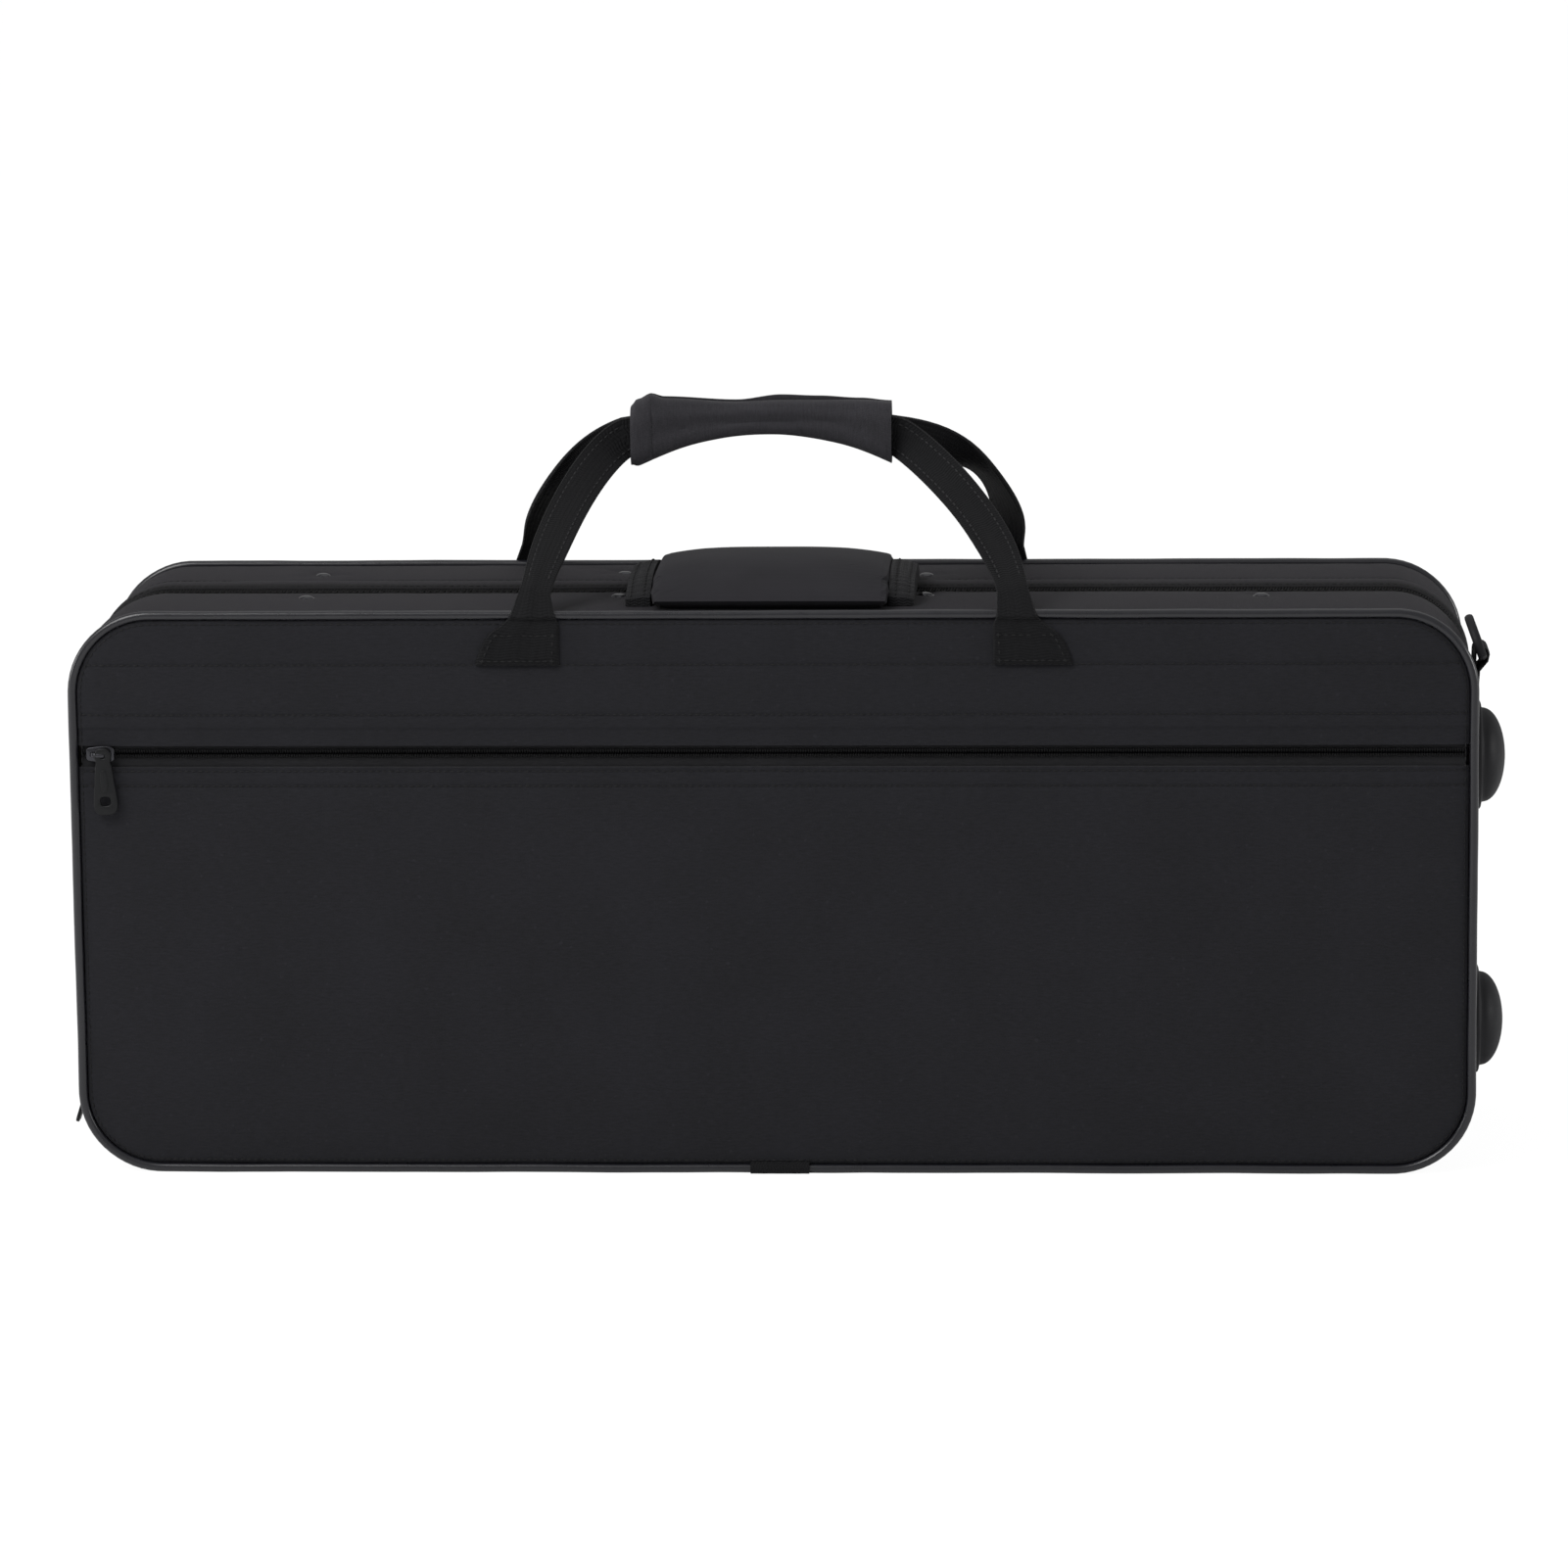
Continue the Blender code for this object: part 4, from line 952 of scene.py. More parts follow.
for handle_name, side, half_name, legs in (("front", -1, "lid", front_legs), ("back", 1, "base", back_legs)):
    strap_piece = make(handle_name + "_strap_webbing", webbing, strap(side, legs))
    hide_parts(handle_name + "_handle_strap", handle_name + "_patch_left",
                handle_name + "_patch_right")
    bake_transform(strap_piece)


# Grip wrap
wrap_left = -0.0668
wrap_right = 0.0534
binding_end = -0.0572
wrap_low = 0.3310
wrap_wall = 2.2 * mm
sewn_x = 0.0472
# Height of its back half and of its flap's upper edge along X, in mm
wrap_crest = ((-66.8, 345.2), (-64, 347.2), (-57.5, 349.9), (-51.5, 348.5), (-18, 346.9), (2.5, 349.2),
              (20, 348.6), (39, 347.5), (53.4, 346.2))
flap_crest = ((-66.8, 345.2), (-64, 347.2), (-57.5, 349.9), (-51.5, 347.9), (-18, 346.2), (2.5, 346.9),
              (20, 346.8), (39, 346.9), (53.4, 346.2))


def wrap_section(x, side):
    """Half a soft tube: deep at its ends, with a bound left end and a crease along its front."""
    share = (x - wrap_left) / (wrap_right - wrap_left)
    end = 1 - math.sin(math.pi * share)
    flare = smoothstep(0.35, 1.0, end)
    bound = 1 - smoothstep(binding_end - 0.4 * mm, binding_end + 0.4 * mm, x)
    lip = hill(x - wrap_left, 1.2 * mm)
    top = keyed(wrap_crest if side > 0 else flap_crest, x / mm) * mm - 1.0 * mm * lip
    low = wrap_low - 0.0138 * ((x + 0.004) / 0.058) ** 2 + 0.5 * mm * ripple(x, 1, 5, 40)
    low += 2.2 * mm * hill(x - wrap_left, 2.2 * mm)
    deep = (6.3 + 2.6 * flare + 0.9 * bound - 0.8 * lip) * mm
    half = (top - low) / 2
    middle = (top + low) / 2
    outer = []
    inner = []
    for step in range(25):
        angle = math.pi / 2 - math.pi * step / 24
        lean = abs(math.cos(angle)) ** 0.55
        tall = math.copysign(abs(math.sin(angle)) ** 0.8, math.sin(angle))
        crease = 1.1 * mm * hill(tall + 0.15 - 0.3 * ripple(x, 2, 2, 25), 0.16) * (1 - flare)
        fold = 0.6 * mm * hill(tall - 0.45 - 0.25 * ripple(x, 7, 2, 18), 0.2) * (1 - bound)
        pucker = 0.45 * mm * ripple(x * 1.6, side * tall * 0.02, tall * 0.01, 130)
        soft = 0.6 * mm * ripple(x, side, tall * 0.03, 45)
        sewn = 0.5 * mm * (hill(x - binding_end, 0.9 * mm) + hill(x - sewn_x, 0.8 * mm))
        reach = deep * lean - crease + fold * lean + (pucker * 0.5 + soft - sewn) * lean
        outer.append(Vector((x, side * max(reach, 0.3 * mm), middle + half * tall)))
        inner.append(Vector((x, side * max(deep * lean - wrap_wall, 0.3 * mm),
                             middle + (half - wrap_wall) * tall)))
    return outer + inner[::-1]


def wrap_half(side):
    places = spaced(wrap_left, binding_end - 1.5 * mm, 0.001)
    places += spaced(binding_end - 1.2 * mm, binding_end + 1.2 * mm, 0.0003)
    places += spaced(binding_end + 2 * mm, wrap_right, 0.0015)
    return loft([wrap_section(x, side) for x in places])


wrap_back = make("grip_wrap_cloth", wrap_cloth, wrap_half(1))
settle(wrap_back, "back_handle", "wrap_cloth", "grip_wrap")
wrap_front = make("grip_flap_cloth", wrap_cloth, wrap_half(-1))
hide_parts("grip_flap")
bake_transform(wrap_front)


# Pad over the zipper
pad_x = (-0.057, 0.0555)
pad_y = (-0.074, 0.044)
pad_z = 0.2601
pad_rise = 18.9 * mm
pad_held = 2.5 * mm
sim_frames = 20


def pad_shape(shrink):
    """The pad's start: two skins that meet round its border."""
    centre = Vector(((pad_x[0] + pad_x[1]) / 2, (pad_y[0] + pad_y[1]) / 2, pad_z))
    half_x = (pad_x[1] - pad_x[0]) / 2 - shrink
    half_y = (pad_y[1] - pad_y[0]) / 2 - shrink
    rings = []
    for u in eased(28):
        across = 2 * u - 1
        ring = []
        for v in eased(20):
            along = 2 * v - 1
            crown = (1 - 0.34 * abs(across) ** 3.5) * (1 - abs(along) ** 3)
            rise = pad_rise * (0.3 + 0.7 * crown) - shrink * 0.4
            ring.append(centre + Vector((half_x * across, half_y * along, rise)))
        ring.append(centre + Vector((half_x * across, half_y, 0)))
        ring.append(centre + Vector((half_x * across, -half_y, 0)))
        rings.append(ring)
    return loft(rings)


def inflated(piece):
    """The piece as cloth blown up for a moment, with its foot held."""
    remesh = piece.modifiers.new("remesh", "REMESH")
    remesh.mode = "VOXEL"
    remesh.voxel_size = 4.0 * mm
    start = plain_mesh(piece)
    piece.modifiers.clear()
    piece.data = start
    group = piece.vertex_groups.new(name="held")
    group.add([v.index for v in start.vertices if v.co.z < pad_z + pad_held], 1.0, "REPLACE")
    piece.modifiers.new("cloth", "CLOTH")
    sim = piece.modifiers["cloth"].settings
    sim.vertex_group_mass = "held"
    sim.use_pressure = True
    sim.uniform_pressure_force = 4.0
    sim.mass = 0.2
    sim.tension_stiffness = 25
    sim.compression_stiffness = 12
    sim.bending_stiffness = 0.4
    sim.effector_weights.gravity = 0.0
    sim.use_internal_springs = False
    for frame_number in range(1, sim_frames + 1):
        scene.frame_set(frame_number)
    blown = plain_mesh(piece)
    piece.modifiers.clear()
    piece.data = blown
    scene.frame_set(1)


pad = make("top_pad_cloth", pad_shaded_cloth, pad_shape(2.0 * mm))
inflated(pad)
settle(pad, "base", "wrap_cloth", "top_pad")

tab_y = (-0.060, 0.030)
tab_rise = 12.4 * mm


def tab_crown(y):
    """A tab's height over its length, and its place from -1 to 1."""
    along = (2 * y - tab_y[0] - tab_y[1]) / (tab_y[1] - tab_y[0])
    return 0.33 + 0.67 * (1 - abs(along) ** 3), along


def pad_tab(x_range, way):
    """Webbing over the pad's sewn end: arched across the bag, higher beside the pad and ribbed."""
    rings = []
    for y in spaced(*tab_y, 0.001):
        rib = 0.18 * mm * math.sin(y / 0.00072)
        ring = []
        for x in spaced(*x_range, 0.001):
            beside = (x - x_range[0]) / (x_range[1] - x_range[0])
            beside = beside if way < 0 else 1 - beside
            drop = 0.22 * (1 - beside) ** 2
            rise = tab_rise * tab_crown(y)[0] * (1 - drop) + rib * smoothstep(0.0, 0.2, 1 - beside)
            ring.append(Vector((x, y, pad_z + rise + 0.15 * mm * ripple(x, y, 1, 200))))
        ring += [Vector((x, y, pad_z)) for x in reversed(x_range)]
        rings.append(ring)
    return loft(rings, flat=seen_from_above)


for name, x_range, way in (("pad_tab_left", (-0.0663, -0.0550), -1), ("pad_tab_right", (0.0535, 0.0648), 1)):
    settle(make(name + "_webbing", tab_webbing, pad_tab(x_range, way)), "base", "webbing", name)


# Turned pieces
def turned(profile, steps, matrix):
    """A solid turned about Z from radius and height pairs in mm."""
    rings = []
    for radius, z in profile:
        rings.append([matrix @ Vector((radius * mm * math.cos(angle), radius * mm * math.sin(angle), z * mm))
                      for angle in turns(steps)])
    return loft(rings)


foot_profile = [(24.4, 0), (25.0, 0.5), (25.0, 3.1), (24.6, 3.7), (23.9, 4.0), (22.6, 4.0), (22.0, 4.2),
                (21.6, 4.8)]
foot_profile += [(21.5 * math.cos(math.radians(a)), 5.0 + 10.2 * math.sin(math.radians(a)))
                 for a in range(6, 90, 7)]
foot_profile.append((0.4, 15.2))
foot_turn = Matrix.Rotation(math.pi / 2, 4, "Y")
for name, foot_height in (("end_foot_upper", 0.188), ("end_foot_lower", 0.065)):
    spot = Matrix.Translation((end_face, -0.042, foot_height)) @ foot_turn
    dome = turned(foot_profile, 72, spot)
    settle(make(name + "_dome", moulded_plastic, dome), "lid", "moulded_plastic", name)

rivet_profile = [(4.3, 0), (4.4, 0.25), (4.1, 0.5), (3.5, 0.55), (3.3, 0.8), (2.9, 1.2), (2.1, 1.55),
                 (1.1, 1.75), (0.2, 1.8)]
rivet_z = height - 1.8 * mm - rivet_sink + 0.4 * mm
for half_name, spots in (("lid", lid_rivets), ("base", base_rivets)):
    for number, (x, y) in enumerate(spots, start=1):
        name = f"{half_name}_rivet_{number}"
        cap = turned(rivet_profile, 28, Matrix.Translation((x, y, rivet_z)))
        settle(make(name + "_cap", rivet_metal, cap), half_name, "rivet_metal", name)


# D-rings and their tabs
def tube(points, radius, normal, squareness):
    """A closed tube in one plane, a little square."""
    rings = []
    count = len(points)
    for index, point in enumerate(points):
        along = (points[(index + 1) % count] - points[index - 1]).normalized()
        across = normal.cross(along).normalized()
        ring = []
        for angle in turns(14):
            swell = 1 + squareness * (1 - abs(math.cos(2 * angle)))
            ring.append(point + (across * math.cos(angle) + normal * math.sin(angle)) * (radius * swell))
        rings.append(ring)
    return loft(rings, path_closed=True)


def d_ring(side, y, z, lean):
    """A bar and an arch of one moulding."""
    bar = Vector((side * bar_x, y, z))
    reach = Vector((-side * math.sin(lean), 0, math.cos(lean)))
    across = Vector((0, 1, 0))
    half = 15 * mm
    points = [bar + across * share * half for share in (-0.9, -0.6, -0.2, 0.2, 0.6, 0.9)]
    for angle in range(8, 180, 9):
        turn = math.radians(angle)
        points.append(bar + across * (half * math.cos(turn)) + reach * (half * math.sin(turn) + 0.4 * mm))
    return tube(points, 2.1 * mm, across.cross(reach), 0.12)


def ring_tab(side, y, z):
    """Webbing that goes down behind the ring's bar, round it and back."""
    path = [(end_face + 0.7 * mm, z - drop * mm) for drop in (20.3, 12, 4)]
    for angle in range(180, -1, -20):
        turn = math.radians(angle)
        path.append((bar_x + 3.0 * mm * math.cos(turn), z + 3.0 * mm * math.sin(turn)))
    path += [(bar_x + 2.4 * mm, z - 3 * mm), (end_face + 2.5 * mm, z - 7.5 * mm)]
    path += [(end_face + 2.1 * mm, z - drop * mm) for drop in (13, 20.3)]
    rings = []
    for index, (x, height_here) in enumerate(path):
        before = path[max(index - 1, 0)]
        after = path[min(index + 1, len(path) - 1)]
        along = Vector((after[0] - before[0], 0, after[1] - before[1])).normalized()
        outward = Vector((-along.z, 0, along.x))
        ring = []
        for way in (1, -1):
            for share in (-1, -0.9, -0.5, 0, 0.5, 0.9, 1):
                thick = 0.35 * mm if abs(share) == 1 else 0.6 * mm
                spot = Vector((x, y + share * way * 12 * mm, height_here)) + outward * (thick * way)
                ring.append(Vector((side * spot.x, spot.y, spot.z)))
        rings.append(ring)
    return loft(rings)


ring_lean = math.radians(20)
ring_places = (("right", "lid", 1, -0.042, 0.236, ring_lean), ("left", "base", -1, 0.038, 0.207, 0.0))
for end, _, *place in ring_places:
    name = "d_ring_" + end
    settle(make(name + "_moulding", moulded_plastic, d_ring(*place)), end + "_ring", "moulded_plastic", name)
for end, half_name, *place, _ in ring_places:
    name = "d_ring_tab_" + end
    settle(make(name + "_webbing", webbing, ring_tab(*place)), half_name, "webbing", name)


# Sliders and pulls
def stamped(outlines, thickness, bevel, matrix):
    """A flat plate with rounded edges from closed outlines; the ones inside the first are holes."""
    curve = bpy.data.curves.new("stamped", "CURVE")
    curve.dimensions = "2D"
    curve.fill_mode = "BOTH"
    curve.extrude = thickness / 2 - bevel
    curve.bevel_depth = bevel
    curve.bevel_resolution = 2
    for outline in outlines:
        spline = curve.splines.new("POLY")
        spline.points.add(len(outline) - 1)
        spline.points.foreach_set("co", [value for x, y in outline for value in (x, y, 0, 1)])
        spline.use_cyclic_u = True
    holder = linked("stamped", curve)
    bpy.context.view_layer.update()
    mesh = plain_mesh(holder)
    work = bmesh.new()
    work.from_mesh(mesh)
    bmesh.ops.remove_doubles(work, verts=work.verts, dist=1e-6)
    work.verts.index_update()
    points = [matrix @ vertex.co for vertex in work.verts]
    faces = [tuple(vertex.index for vertex in face.verts) for face in work.faces]
    places = [(points[index].x, points[index].z) for face in faces for index in face]
    work.free()
    bpy.data.objects.remove(holder)
    return Shape().add(points, faces, places)


def rounded_outline(stations):
    """A closed outline from (distance down, half width) stations."""
    right_side = [(half, -down) for down, half in stations]
    return right_side + [(-half, -down) for down, half in reversed(stations)]


def oval(centre_y, half_x, half_y):
    """A slot's outline, between an ellipse and a box."""
    squared = 0.75
    points = []
    for angle in turns(20):
        x = math.copysign(abs(math.cos(angle)) ** squared, math.cos(angle))
        y = math.copysign(abs(math.sin(angle)) ** squared, math.sin(angle))
        points.append((half_x * x, centre_y + half_y * y))
    return points


# Turns a plate's plane so that its thickness runs along X
standing = axes_to((0, 1, 0), (0, 0, 1), (1, 0, 0))


def slider_shape(long, wide, face_out, face_in, back_out, back_in, arch_rise, matrix):
    """Two plates, a post and an arch; X is out of the bag and Z runs along the zipper."""
    down = long / 2
    plate = [(share * down, half * wide / 2)
             for share, half in ((-1.0, 0.62), (-0.93, 0.78), (-0.75, 0.93), (-0.4, 1.0), (0.0, 0.97),
                                 (0.5, 0.84), (0.85, 0.76), (0.96, 0.66), (1.0, 0.5))]
    shapes = []
    for outer, inner in ((face_out, face_in), (back_out, back_in)):
        seat = matrix @ Matrix.Translation(((outer + inner) / 2, 0, 0)) @ standing
        shapes.append(stamped([rounded_outline(plate)], outer - inner, 0.35 * mm, seat))
    post = stamped([oval(0, 0.6 * mm, down * 0.7)], face_in - back_out + 0.4 * mm, 0.1 * mm,
                   matrix @ Matrix.Translation(((face_in + back_out) / 2, 0, 0)) @ standing)
    shapes.append(post)
    rings = []
    for step in range(15):
        share = 2 * step / 14 - 1
        z = share * (down - 1.6 * mm)
        x = face_out - 0.3 * mm + (arch_rise + 0.3 * mm) * (1 - abs(share) ** 3.2) ** 0.8
        slope = Vector((share ** 3 * 2.2, 0, 1)).normalized()
        thick = Vector((slope.z, 0, -slope.x))
        ring = []
        for angle in range(0, 360, 30):
            turn = math.radians(angle)
            offset = Vector((0, 1.15 * mm * math.cos(turn), 0)) + thick * (0.7 * mm * math.sin(turn))
            ring.append(matrix @ (Vector((x, 0, z)) + offset))
        rings.append(ring)
    shapes.append(loft(rings))
    return shapes


def main_pull(matrix):
    """A plain pull with a slot at its top; it hangs down Z from the bar's middle."""
    body = [(-0.9, 3.2), (-0.6, 3.7), (0.3, 4.0), (2, 4.1), (7, 3.6), (14, 3.5), (19, 4.1), (22.5, 4.5),
            (24.6, 4.4), (25.6, 3.7), (26.1, 2.6)]
    outline = rounded_outline([(down * mm, half * mm) for down, half in body])
    slot = oval(-3.3 * mm, 1.5 * mm, 2.4 * mm)
    return stamped([outline, slot], 1.6 * mm, 0.4 * mm, matrix @ standing)


def main_slider(matrix):
    return slider_shape(12 * mm, 9 * mm, 0.7 * mm, -0.8 * mm, -5.3 * mm, -6.3 * mm, 6.5 * mm, matrix)


mirror_out = Matrix.Rotation(math.pi, 4, "Z")
pull_out = 4.9 * mm
pull_down = -2.1 * mm
upper_slider_z = 0.080
carriage_turn = Matrix.Rotation(math.radians(-5), 4, "Y")
carriage = Matrix.Translation((-flat_half, parting, corner)) @ carriage_turn
sliders = (("upper", Matrix.Translation((-half_length, parting, upper_slider_z)),
            Matrix.Translation((-half_length - pull_out, parting, upper_slider_z + pull_down))),
           ("lower", carriage @ Matrix.Translation((-corner, 0, 0)),
            carriage @ Matrix.Translation((-corner - pull_out, 0, pull_down))
            @ Matrix.Rotation(math.radians(5 + 17), 4, "Y")))
for name, slider_spot, pull_spot in sliders:
    settle(make(name + "_slider_plates", slider_metal, *main_slider(slider_spot @ mirror_out)),
           name + "_slider_body", "slider_metal", name + "_slider")
    settle(make(name + "_pull_plate", pull_enamel, main_pull(pull_spot)),
           name + "_pull_body", "slider_metal", name + "_pull")
pocket_slider_x = -0.3055
lying_out = axes_to((0, -1, 0), (0, 0, -1), (1, 0, 0))
pocket_spot = Matrix.Translation((pocket_slider_x, 0, slot_z)) @ lying_out
pocket_slider = slider_shape(12 * mm, 7 * mm, 80.4 * mm, 79.2 * mm, 76.5 * mm, 75.3 * mm, 3.0 * mm,
                             pocket_spot)
settle(make("pocket_slider_plates", slider_metal, *pocket_slider),
       "pocket_slider_body", "slider_metal", "pocket_slider")


def pocket_pull():
    """Narrow below its eye, wide at the end, with a slot near the end."""
    body = [(-2.8, 1.2), (-2.3, 2.3), (-1.0, 3.1), (0.8, 3.3), (2.6, 2.9), (4.0, 2.8), (5.2, 3.3), (9, 3.6),
            (13, 4.0), (17, 4.5), (21, 4.9), (23.6, 5.0), (25.2, 4.6), (26.4, 3.7), (27.0, 2.4)]
    outline = rounded_outline([(down * mm, half * mm) for down, half in body])
    eye = oval(-0.4 * mm, 1.5 * mm, 1.5 * mm)
    slot = oval(-21.2 * mm, 2.9 * mm, 2.6 * mm)
    groove = oval(-12.0 * mm, 1.5 * mm, 5.0 * mm)
    tilt = Matrix.Rotation(math.radians(-2.5), 4, "Y")
    stand = (Matrix.Translation((pocket_slider_x + 1.5 * mm, -0.0830, slot_z)) @ tilt
             @ axes_to((1, 0, 0), (0, 0, 1), (0, 1, 0)))
    plate = stamped([outline, eye, slot], 1.8 * mm, 0.5 * mm, stand)
    raised = stamped([groove], 0.5 * mm, 0.2 * mm, stand @ Matrix.Translation((0, 0, -1.0 * mm)))
    return plate, raised


settle(make("pocket_pull_plate", pull_enamel, *pocket_pull()),
       "pocket_pull_body", "slider_metal", "pocket_pull")


# Linings, insert and hinge cloth
def tray(near_y, floor_y, inset, thickness):
    """A lining's wall and floor as one closed skin."""
    way = 1 if floor_y > near_y else -1
    distances = spaced(0, perimeter, 0.012)[:-1]
    section = ((inset, floor_y), (inset, near_y), (inset + thickness, near_y),
               (inset + thickness, floor_y - way * thickness))
    return loft([[around(distance, depth, y) for distance in distances] for depth, y in section])


lining_sizes = (9.9 * mm, 1.2 * mm)
for half_name, near_y, floor_y in (("lid", -0.0042, -0.0642), ("base", -0.0038, 0.0692)):
    name = half_name + "_lining"
    settle(make(name + "_plush", plush, tray(near_y, floor_y, *lining_sizes)), half_name, "plush", name)

box_wells = (((-0.225, 0.205), (0.032, 0.122)), ((0.050, 0.210), (0.141, 0.219)),
             ((-0.225, -0.080), (0.152, 0.230)), ((-0.297, -0.245), (0.030, 0.150)))
# Two round wells and the soft corner between them, each a centre and a radius
round_wells = (((0.200, 0.126), 0.095), ((0.045, 0.172), 0.065), ((0.112, 0.134), 0.026))
door_mouth = ((-0.300, -0.242), (0.027, 0.153))
door_seat = 4.3 * mm
insert_front = -0.0015
insert_back = 0.0677
insert_inset = 11.4 * mm
well_depth = 0.060


def inside_box(x, z, box):
    """How far inside a box a point is, less than nothing outside."""
    return min(x - box[0][0], box[0][1] - x, z - box[1][0], box[1][1] - z)


def insert_y(x, z):
    """Front of the insert with its wells."""
    inside = max(inside_box(x, z, well) for well in box_wells)
    for (centre_x, centre_z), radius in round_wells:
        inside = max(inside, radius - math.hypot(x - centre_x, z - centre_z))
    depth = well_depth * smoothstep(-2.0 * mm, 6.0 * mm, inside)
    depth = max(depth, door_seat * smoothstep(-1.0 * mm, 0.4 * mm, inside_box(x, z, door_mouth)))
    return insert_front + depth + 0.15 * mm * (1 + ripple(x, 1, z, 20))


insert_rows = rows_between(insert_inset, height - insert_inset, 0.0021, ())
insert = make("insert_foam", flock, panel(insert_rows, insert_inset, insert_y, insert_back, 290))
settle(insert, "base", "foam", "base_insert")

door_x = (-0.2997, -0.2423)
door_z = (0.0273, 0.1527)
door_back = 0.0025


def door():
    """A padded board with drawn-in edges."""
    rings = []
    for x in spaced(*door_x, 0.003):
        ring = []
        for z in spaced(*door_z, 0.004):
            edge = min(x - door_x[0], door_x[1] - x, z - door_z[0], door_z[1] - z)
            ring.append(Vector((x, insert_front - 0.4 * mm + 1.2 * mm * math.exp(-edge / 0.002), z)))
        ring += [Vector((x, door_back, z)) for z in reversed(door_z)]
        rings.append(ring)
    return loft(rings, flat=seen_from_front)


settle(make("accessory_lid_plush", plush, door()), "accessory_door", "plush", "accessory_lid")

hinge_y = (-0.024, 0.022)


def hinge_cloth():
    """Cloth across the bottom seam that lets the lid fall open."""
    rings = []
    for x in spaced(-0.275, 0.275, 0.005):
        ring = []
        for y in spaced(*hinge_y, 0.002):
            edge = min(y - hinge_y[0], hinge_y[1] - y)
            rise = 0.5 * mm * math.exp(-edge / 0.003) + 0.15 * mm + 0.12 * mm * ripple(x, y, 1, 60)
            ring.append(Vector((x, y, rise)))
        ring += [Vector((x, y, 1.5 * mm)) for y in spaced(hinge_y[1], hinge_y[0], 0.002)]
        rings.append(ring)
    return loft(rings, flat=seen_from_above)


hinge = make("hinge_strip_cloth", tape_cloth, hinge_cloth())
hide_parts("hinge_strip_lid", "hinge_strip_base")
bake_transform(hinge)


# Boards keep their CAD shape
for name in ("lid_shell", "base_shell"):
    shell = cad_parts[name]
    shell.data.materials.clear()
    shell.data.materials.append(board)


# Stitches
stitch_pitch = 3.1 * mm
stitch = (2.4 * mm, 0.75 * mm, 0.6 * mm)
stitch_spread = 0.08


def panel_ring(face_y, side):
    """A row round a panel, just inside the piping."""
    row = []
    for distance in spaced(*full_span, row_step):
        place = around(distance, panel_inset + 1.6 * mm, 0)
        place.y = face_y(place.x, place.z) + side * 0.1 * mm
        row.append((place, (0, side, 0)))
    return row


lid_rows = [panel_ring(front_panel_y, -1)]
for z in front_rows:
    reach = half_width(z, panel_inset) - 3 * mm
    lid_rows.append(level_row(z, lambda x, z: front_panel_y(x, z) - 0.1 * mm, -reach, reach))
lid_rows.append(outline_row(full_span, 1.75 * mm, -0.0117))
base_rows = [panel_ring(back_panel_y, 1)]
base_rows += [outline_row(open_span, 1.1 * mm, y) for y in (0.0038, 0.0200)]


def patch_stitches(side, leg):
    """A box sewn through a patch, a little inside its edges."""
    corners = [(-0.84, 0.2385), (0.84, 0.2385), (0.78, 0.2500), (-0.84, 0.2500)]
    rows = []
    for first, second in zip(corners, corners[1:] + corners[:1]):
        row = []
        for t in spaced(0, 1, 0.1):
            share = first[0] + (second[0] - first[0]) * t
            place = patch_place(side, leg, first[1] + (second[1] - first[1]) * t, share)
            place.y += side * (patch_thickness + 0.1 * mm)
            row.append((place, (0, side, 0)))
        rows.append(row)
    return rows


for leg in front_legs:
    lid_rows += patch_stitches(-1, leg)
for leg in back_legs:
    base_rows += patch_stitches(1, leg)


def arched_row(x, height_share):
    """A row across the bag over the pad's end."""
    row = []
    for y in spaced(tab_y[0] + 2 * mm, tab_y[1] - 2 * mm, 0.003):
        crown, along = tab_crown(y)
        place = Vector((x, y, pad_z + tab_rise * crown * height_share + 0.2 * mm))
        row.append((place, (0, -along ** 2 * (along < 0), 1)))
    return row


for x, height_share in ((-0.0640, 0.86), (-0.0580, 1.0), (0.0565, 1.0), (0.0625, 0.86)):
    base_rows.append(arched_row(x, height_share))
for half_name, rows in (("lid", lid_rows), ("base", base_rows)):
    bead_rows(half_name + "_stitches", half_name, "panel_cloth", rows, thread,
              stitch_pitch, stitch, stitch_spread)


def strap_rows(side, legs):
    """Sewn lines along a handle, from above its feet to the grip."""
    frames = [frame_here for frame_here in strap_frames(side, legs)
              if frame_here[0].z > foot_z + 12 * mm and not grip_left < frame_here[0].x < grip_right]
    rows = []
    for way in (-1, 1):
        for share in (-0.62, 0.62):
            rows.append([(centre + across * (share * half) + outward * (strap_thickness / 2), outward)
                         for centre, across, outward, half in frames if centre.x * way > 0])
    return rows


for face, side, legs in (("front", -1, front_legs), ("back", 1, back_legs)):
    bead_rows(face + "_strap_stitches", face + "_handle", "webbing", strap_rows(side, legs), light_thread,
              stitch_pitch, stitch, stitch_spread)


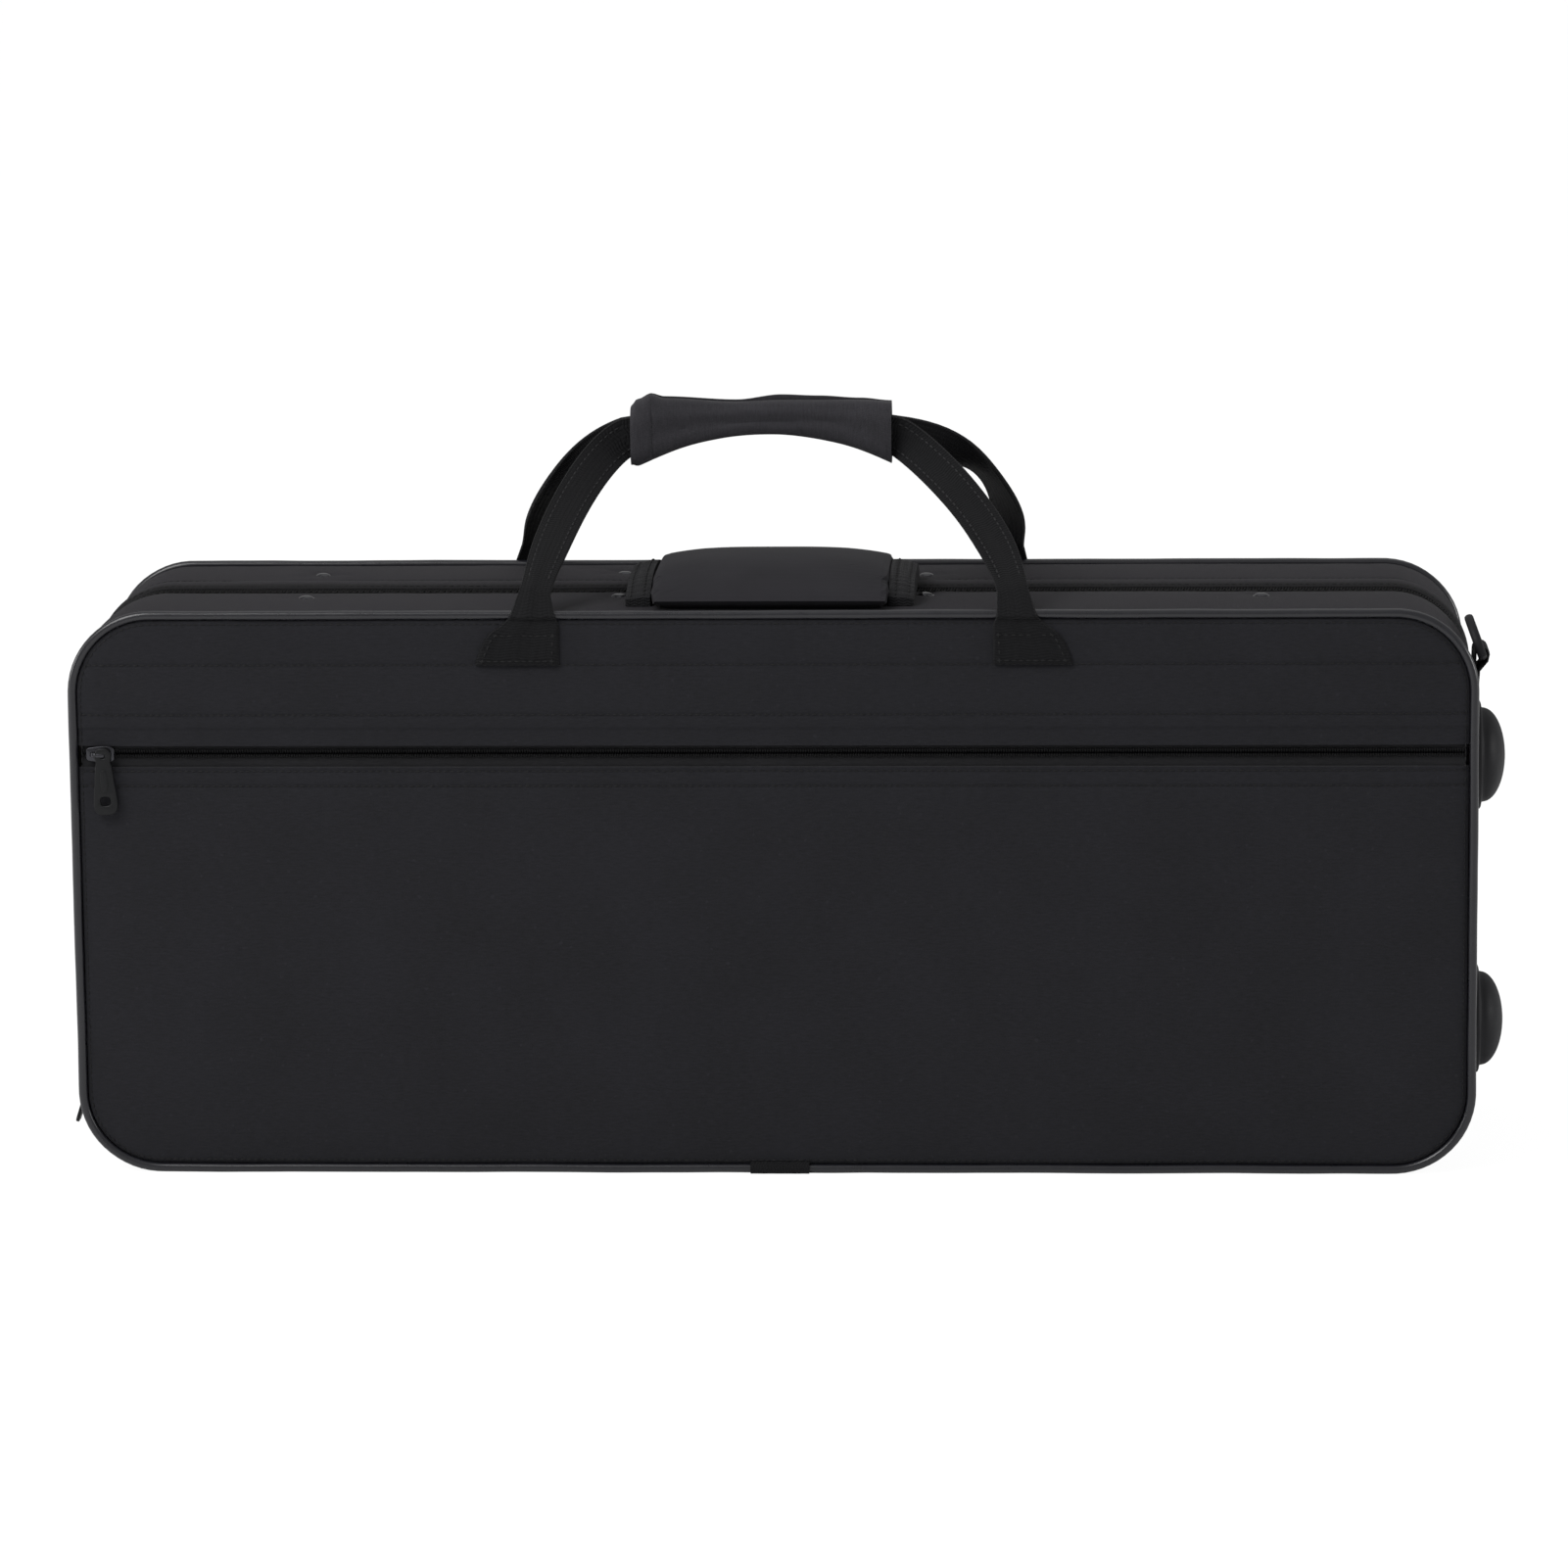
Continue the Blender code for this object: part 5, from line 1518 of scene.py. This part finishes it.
# Light, floor and backdrop
def seen_white(tree, kind, strength, share, plain, output):
    """Lays plain white over a surface, for the camera's rays alone."""
    glow = add_node(tree, kind, None, {"Color": white, "Strength": strength})
    ray = add_node(tree, "ShaderNodeLightPath").outputs["Is Camera Ray"]
    part = add_node(tree, "ShaderNodeMath", {"operation": "MULTIPLY"}, {0: ray, 1: share})
    layers = {0: part.outputs[0], 1: tree.nodes[plain].outputs[0], 2: glow.outputs[0]}
    mix = add_node(tree, "ShaderNodeMixShader", None, layers)
    tree.links.new(mix.outputs[0], tree.nodes[output].inputs["Surface"])


world = bpy.data.worlds.new("backdrop")
scene.world = world
world.use_nodes = True
sky_light = world.node_tree.nodes["Background"]
sky_light.inputs["Color"].default_value = white
sky_light.inputs["Strength"].default_value = 0.38
seen_white(world.node_tree, "ShaderNodeBackground", 1.0, 1.0, "Background", "World Output")

floor_material = bpy.data.materials.new("floor")
floor_material.use_nodes = True
floor_surface = floor_material.node_tree.nodes["Principled BSDF"]
floor_surface.inputs["Base Color"].default_value = (0.9, 0.9, 0.9, 1)
floor_surface.inputs["Roughness"].default_value = 0.9
floor_surface.inputs["Specular IOR Level"].default_value = 0.0
seen_white(floor_material.node_tree, "ShaderNodeEmission", 1.12, 0.85, "Principled BSDF", "Material Output")
floor_half = 40.0
floor_mesh = bpy.data.meshes.new("floor")
floor_mesh.from_pydata([(-floor_half, -floor_half, 0), (floor_half, -floor_half, 0),
                        (floor_half, floor_half, 0), (-floor_half, floor_half, 0)], [], [(0, 1, 2, 3)])
floor_mesh.materials.append(floor_material)
floor = linked("floor", floor_mesh)

# Each light: its place, the height that it aims at, its size in metres and its power in watts
lights = (("key", (-1.5, -1.5, 2.3), 0.15, 1.6, 48), ("top", (0.2, 0.6, 2.4), 0.2, 2.0, 5),
          ("left", (-2.6, -0.3, 0.7), 0.12, 0.8, 14), ("right", (2.6, -0.3, 0.7), 0.12, 0.8, 14))
for name, place, aim_z, size, power in lights:
    lamp_data = bpy.data.lights.new(name, "AREA")
    lamp_data.shape = "SQUARE"
    lamp_data.size = size
    lamp_data.energy = power
    lamp = linked(name, lamp_data)
    lamp.location = place
    aim = Vector((0, 0, aim_z)) - Vector(place)
    lamp.rotation_euler = aim.to_track_quat("-Z", "Y").to_euler()

scene.view_settings.view_transform = "Standard"
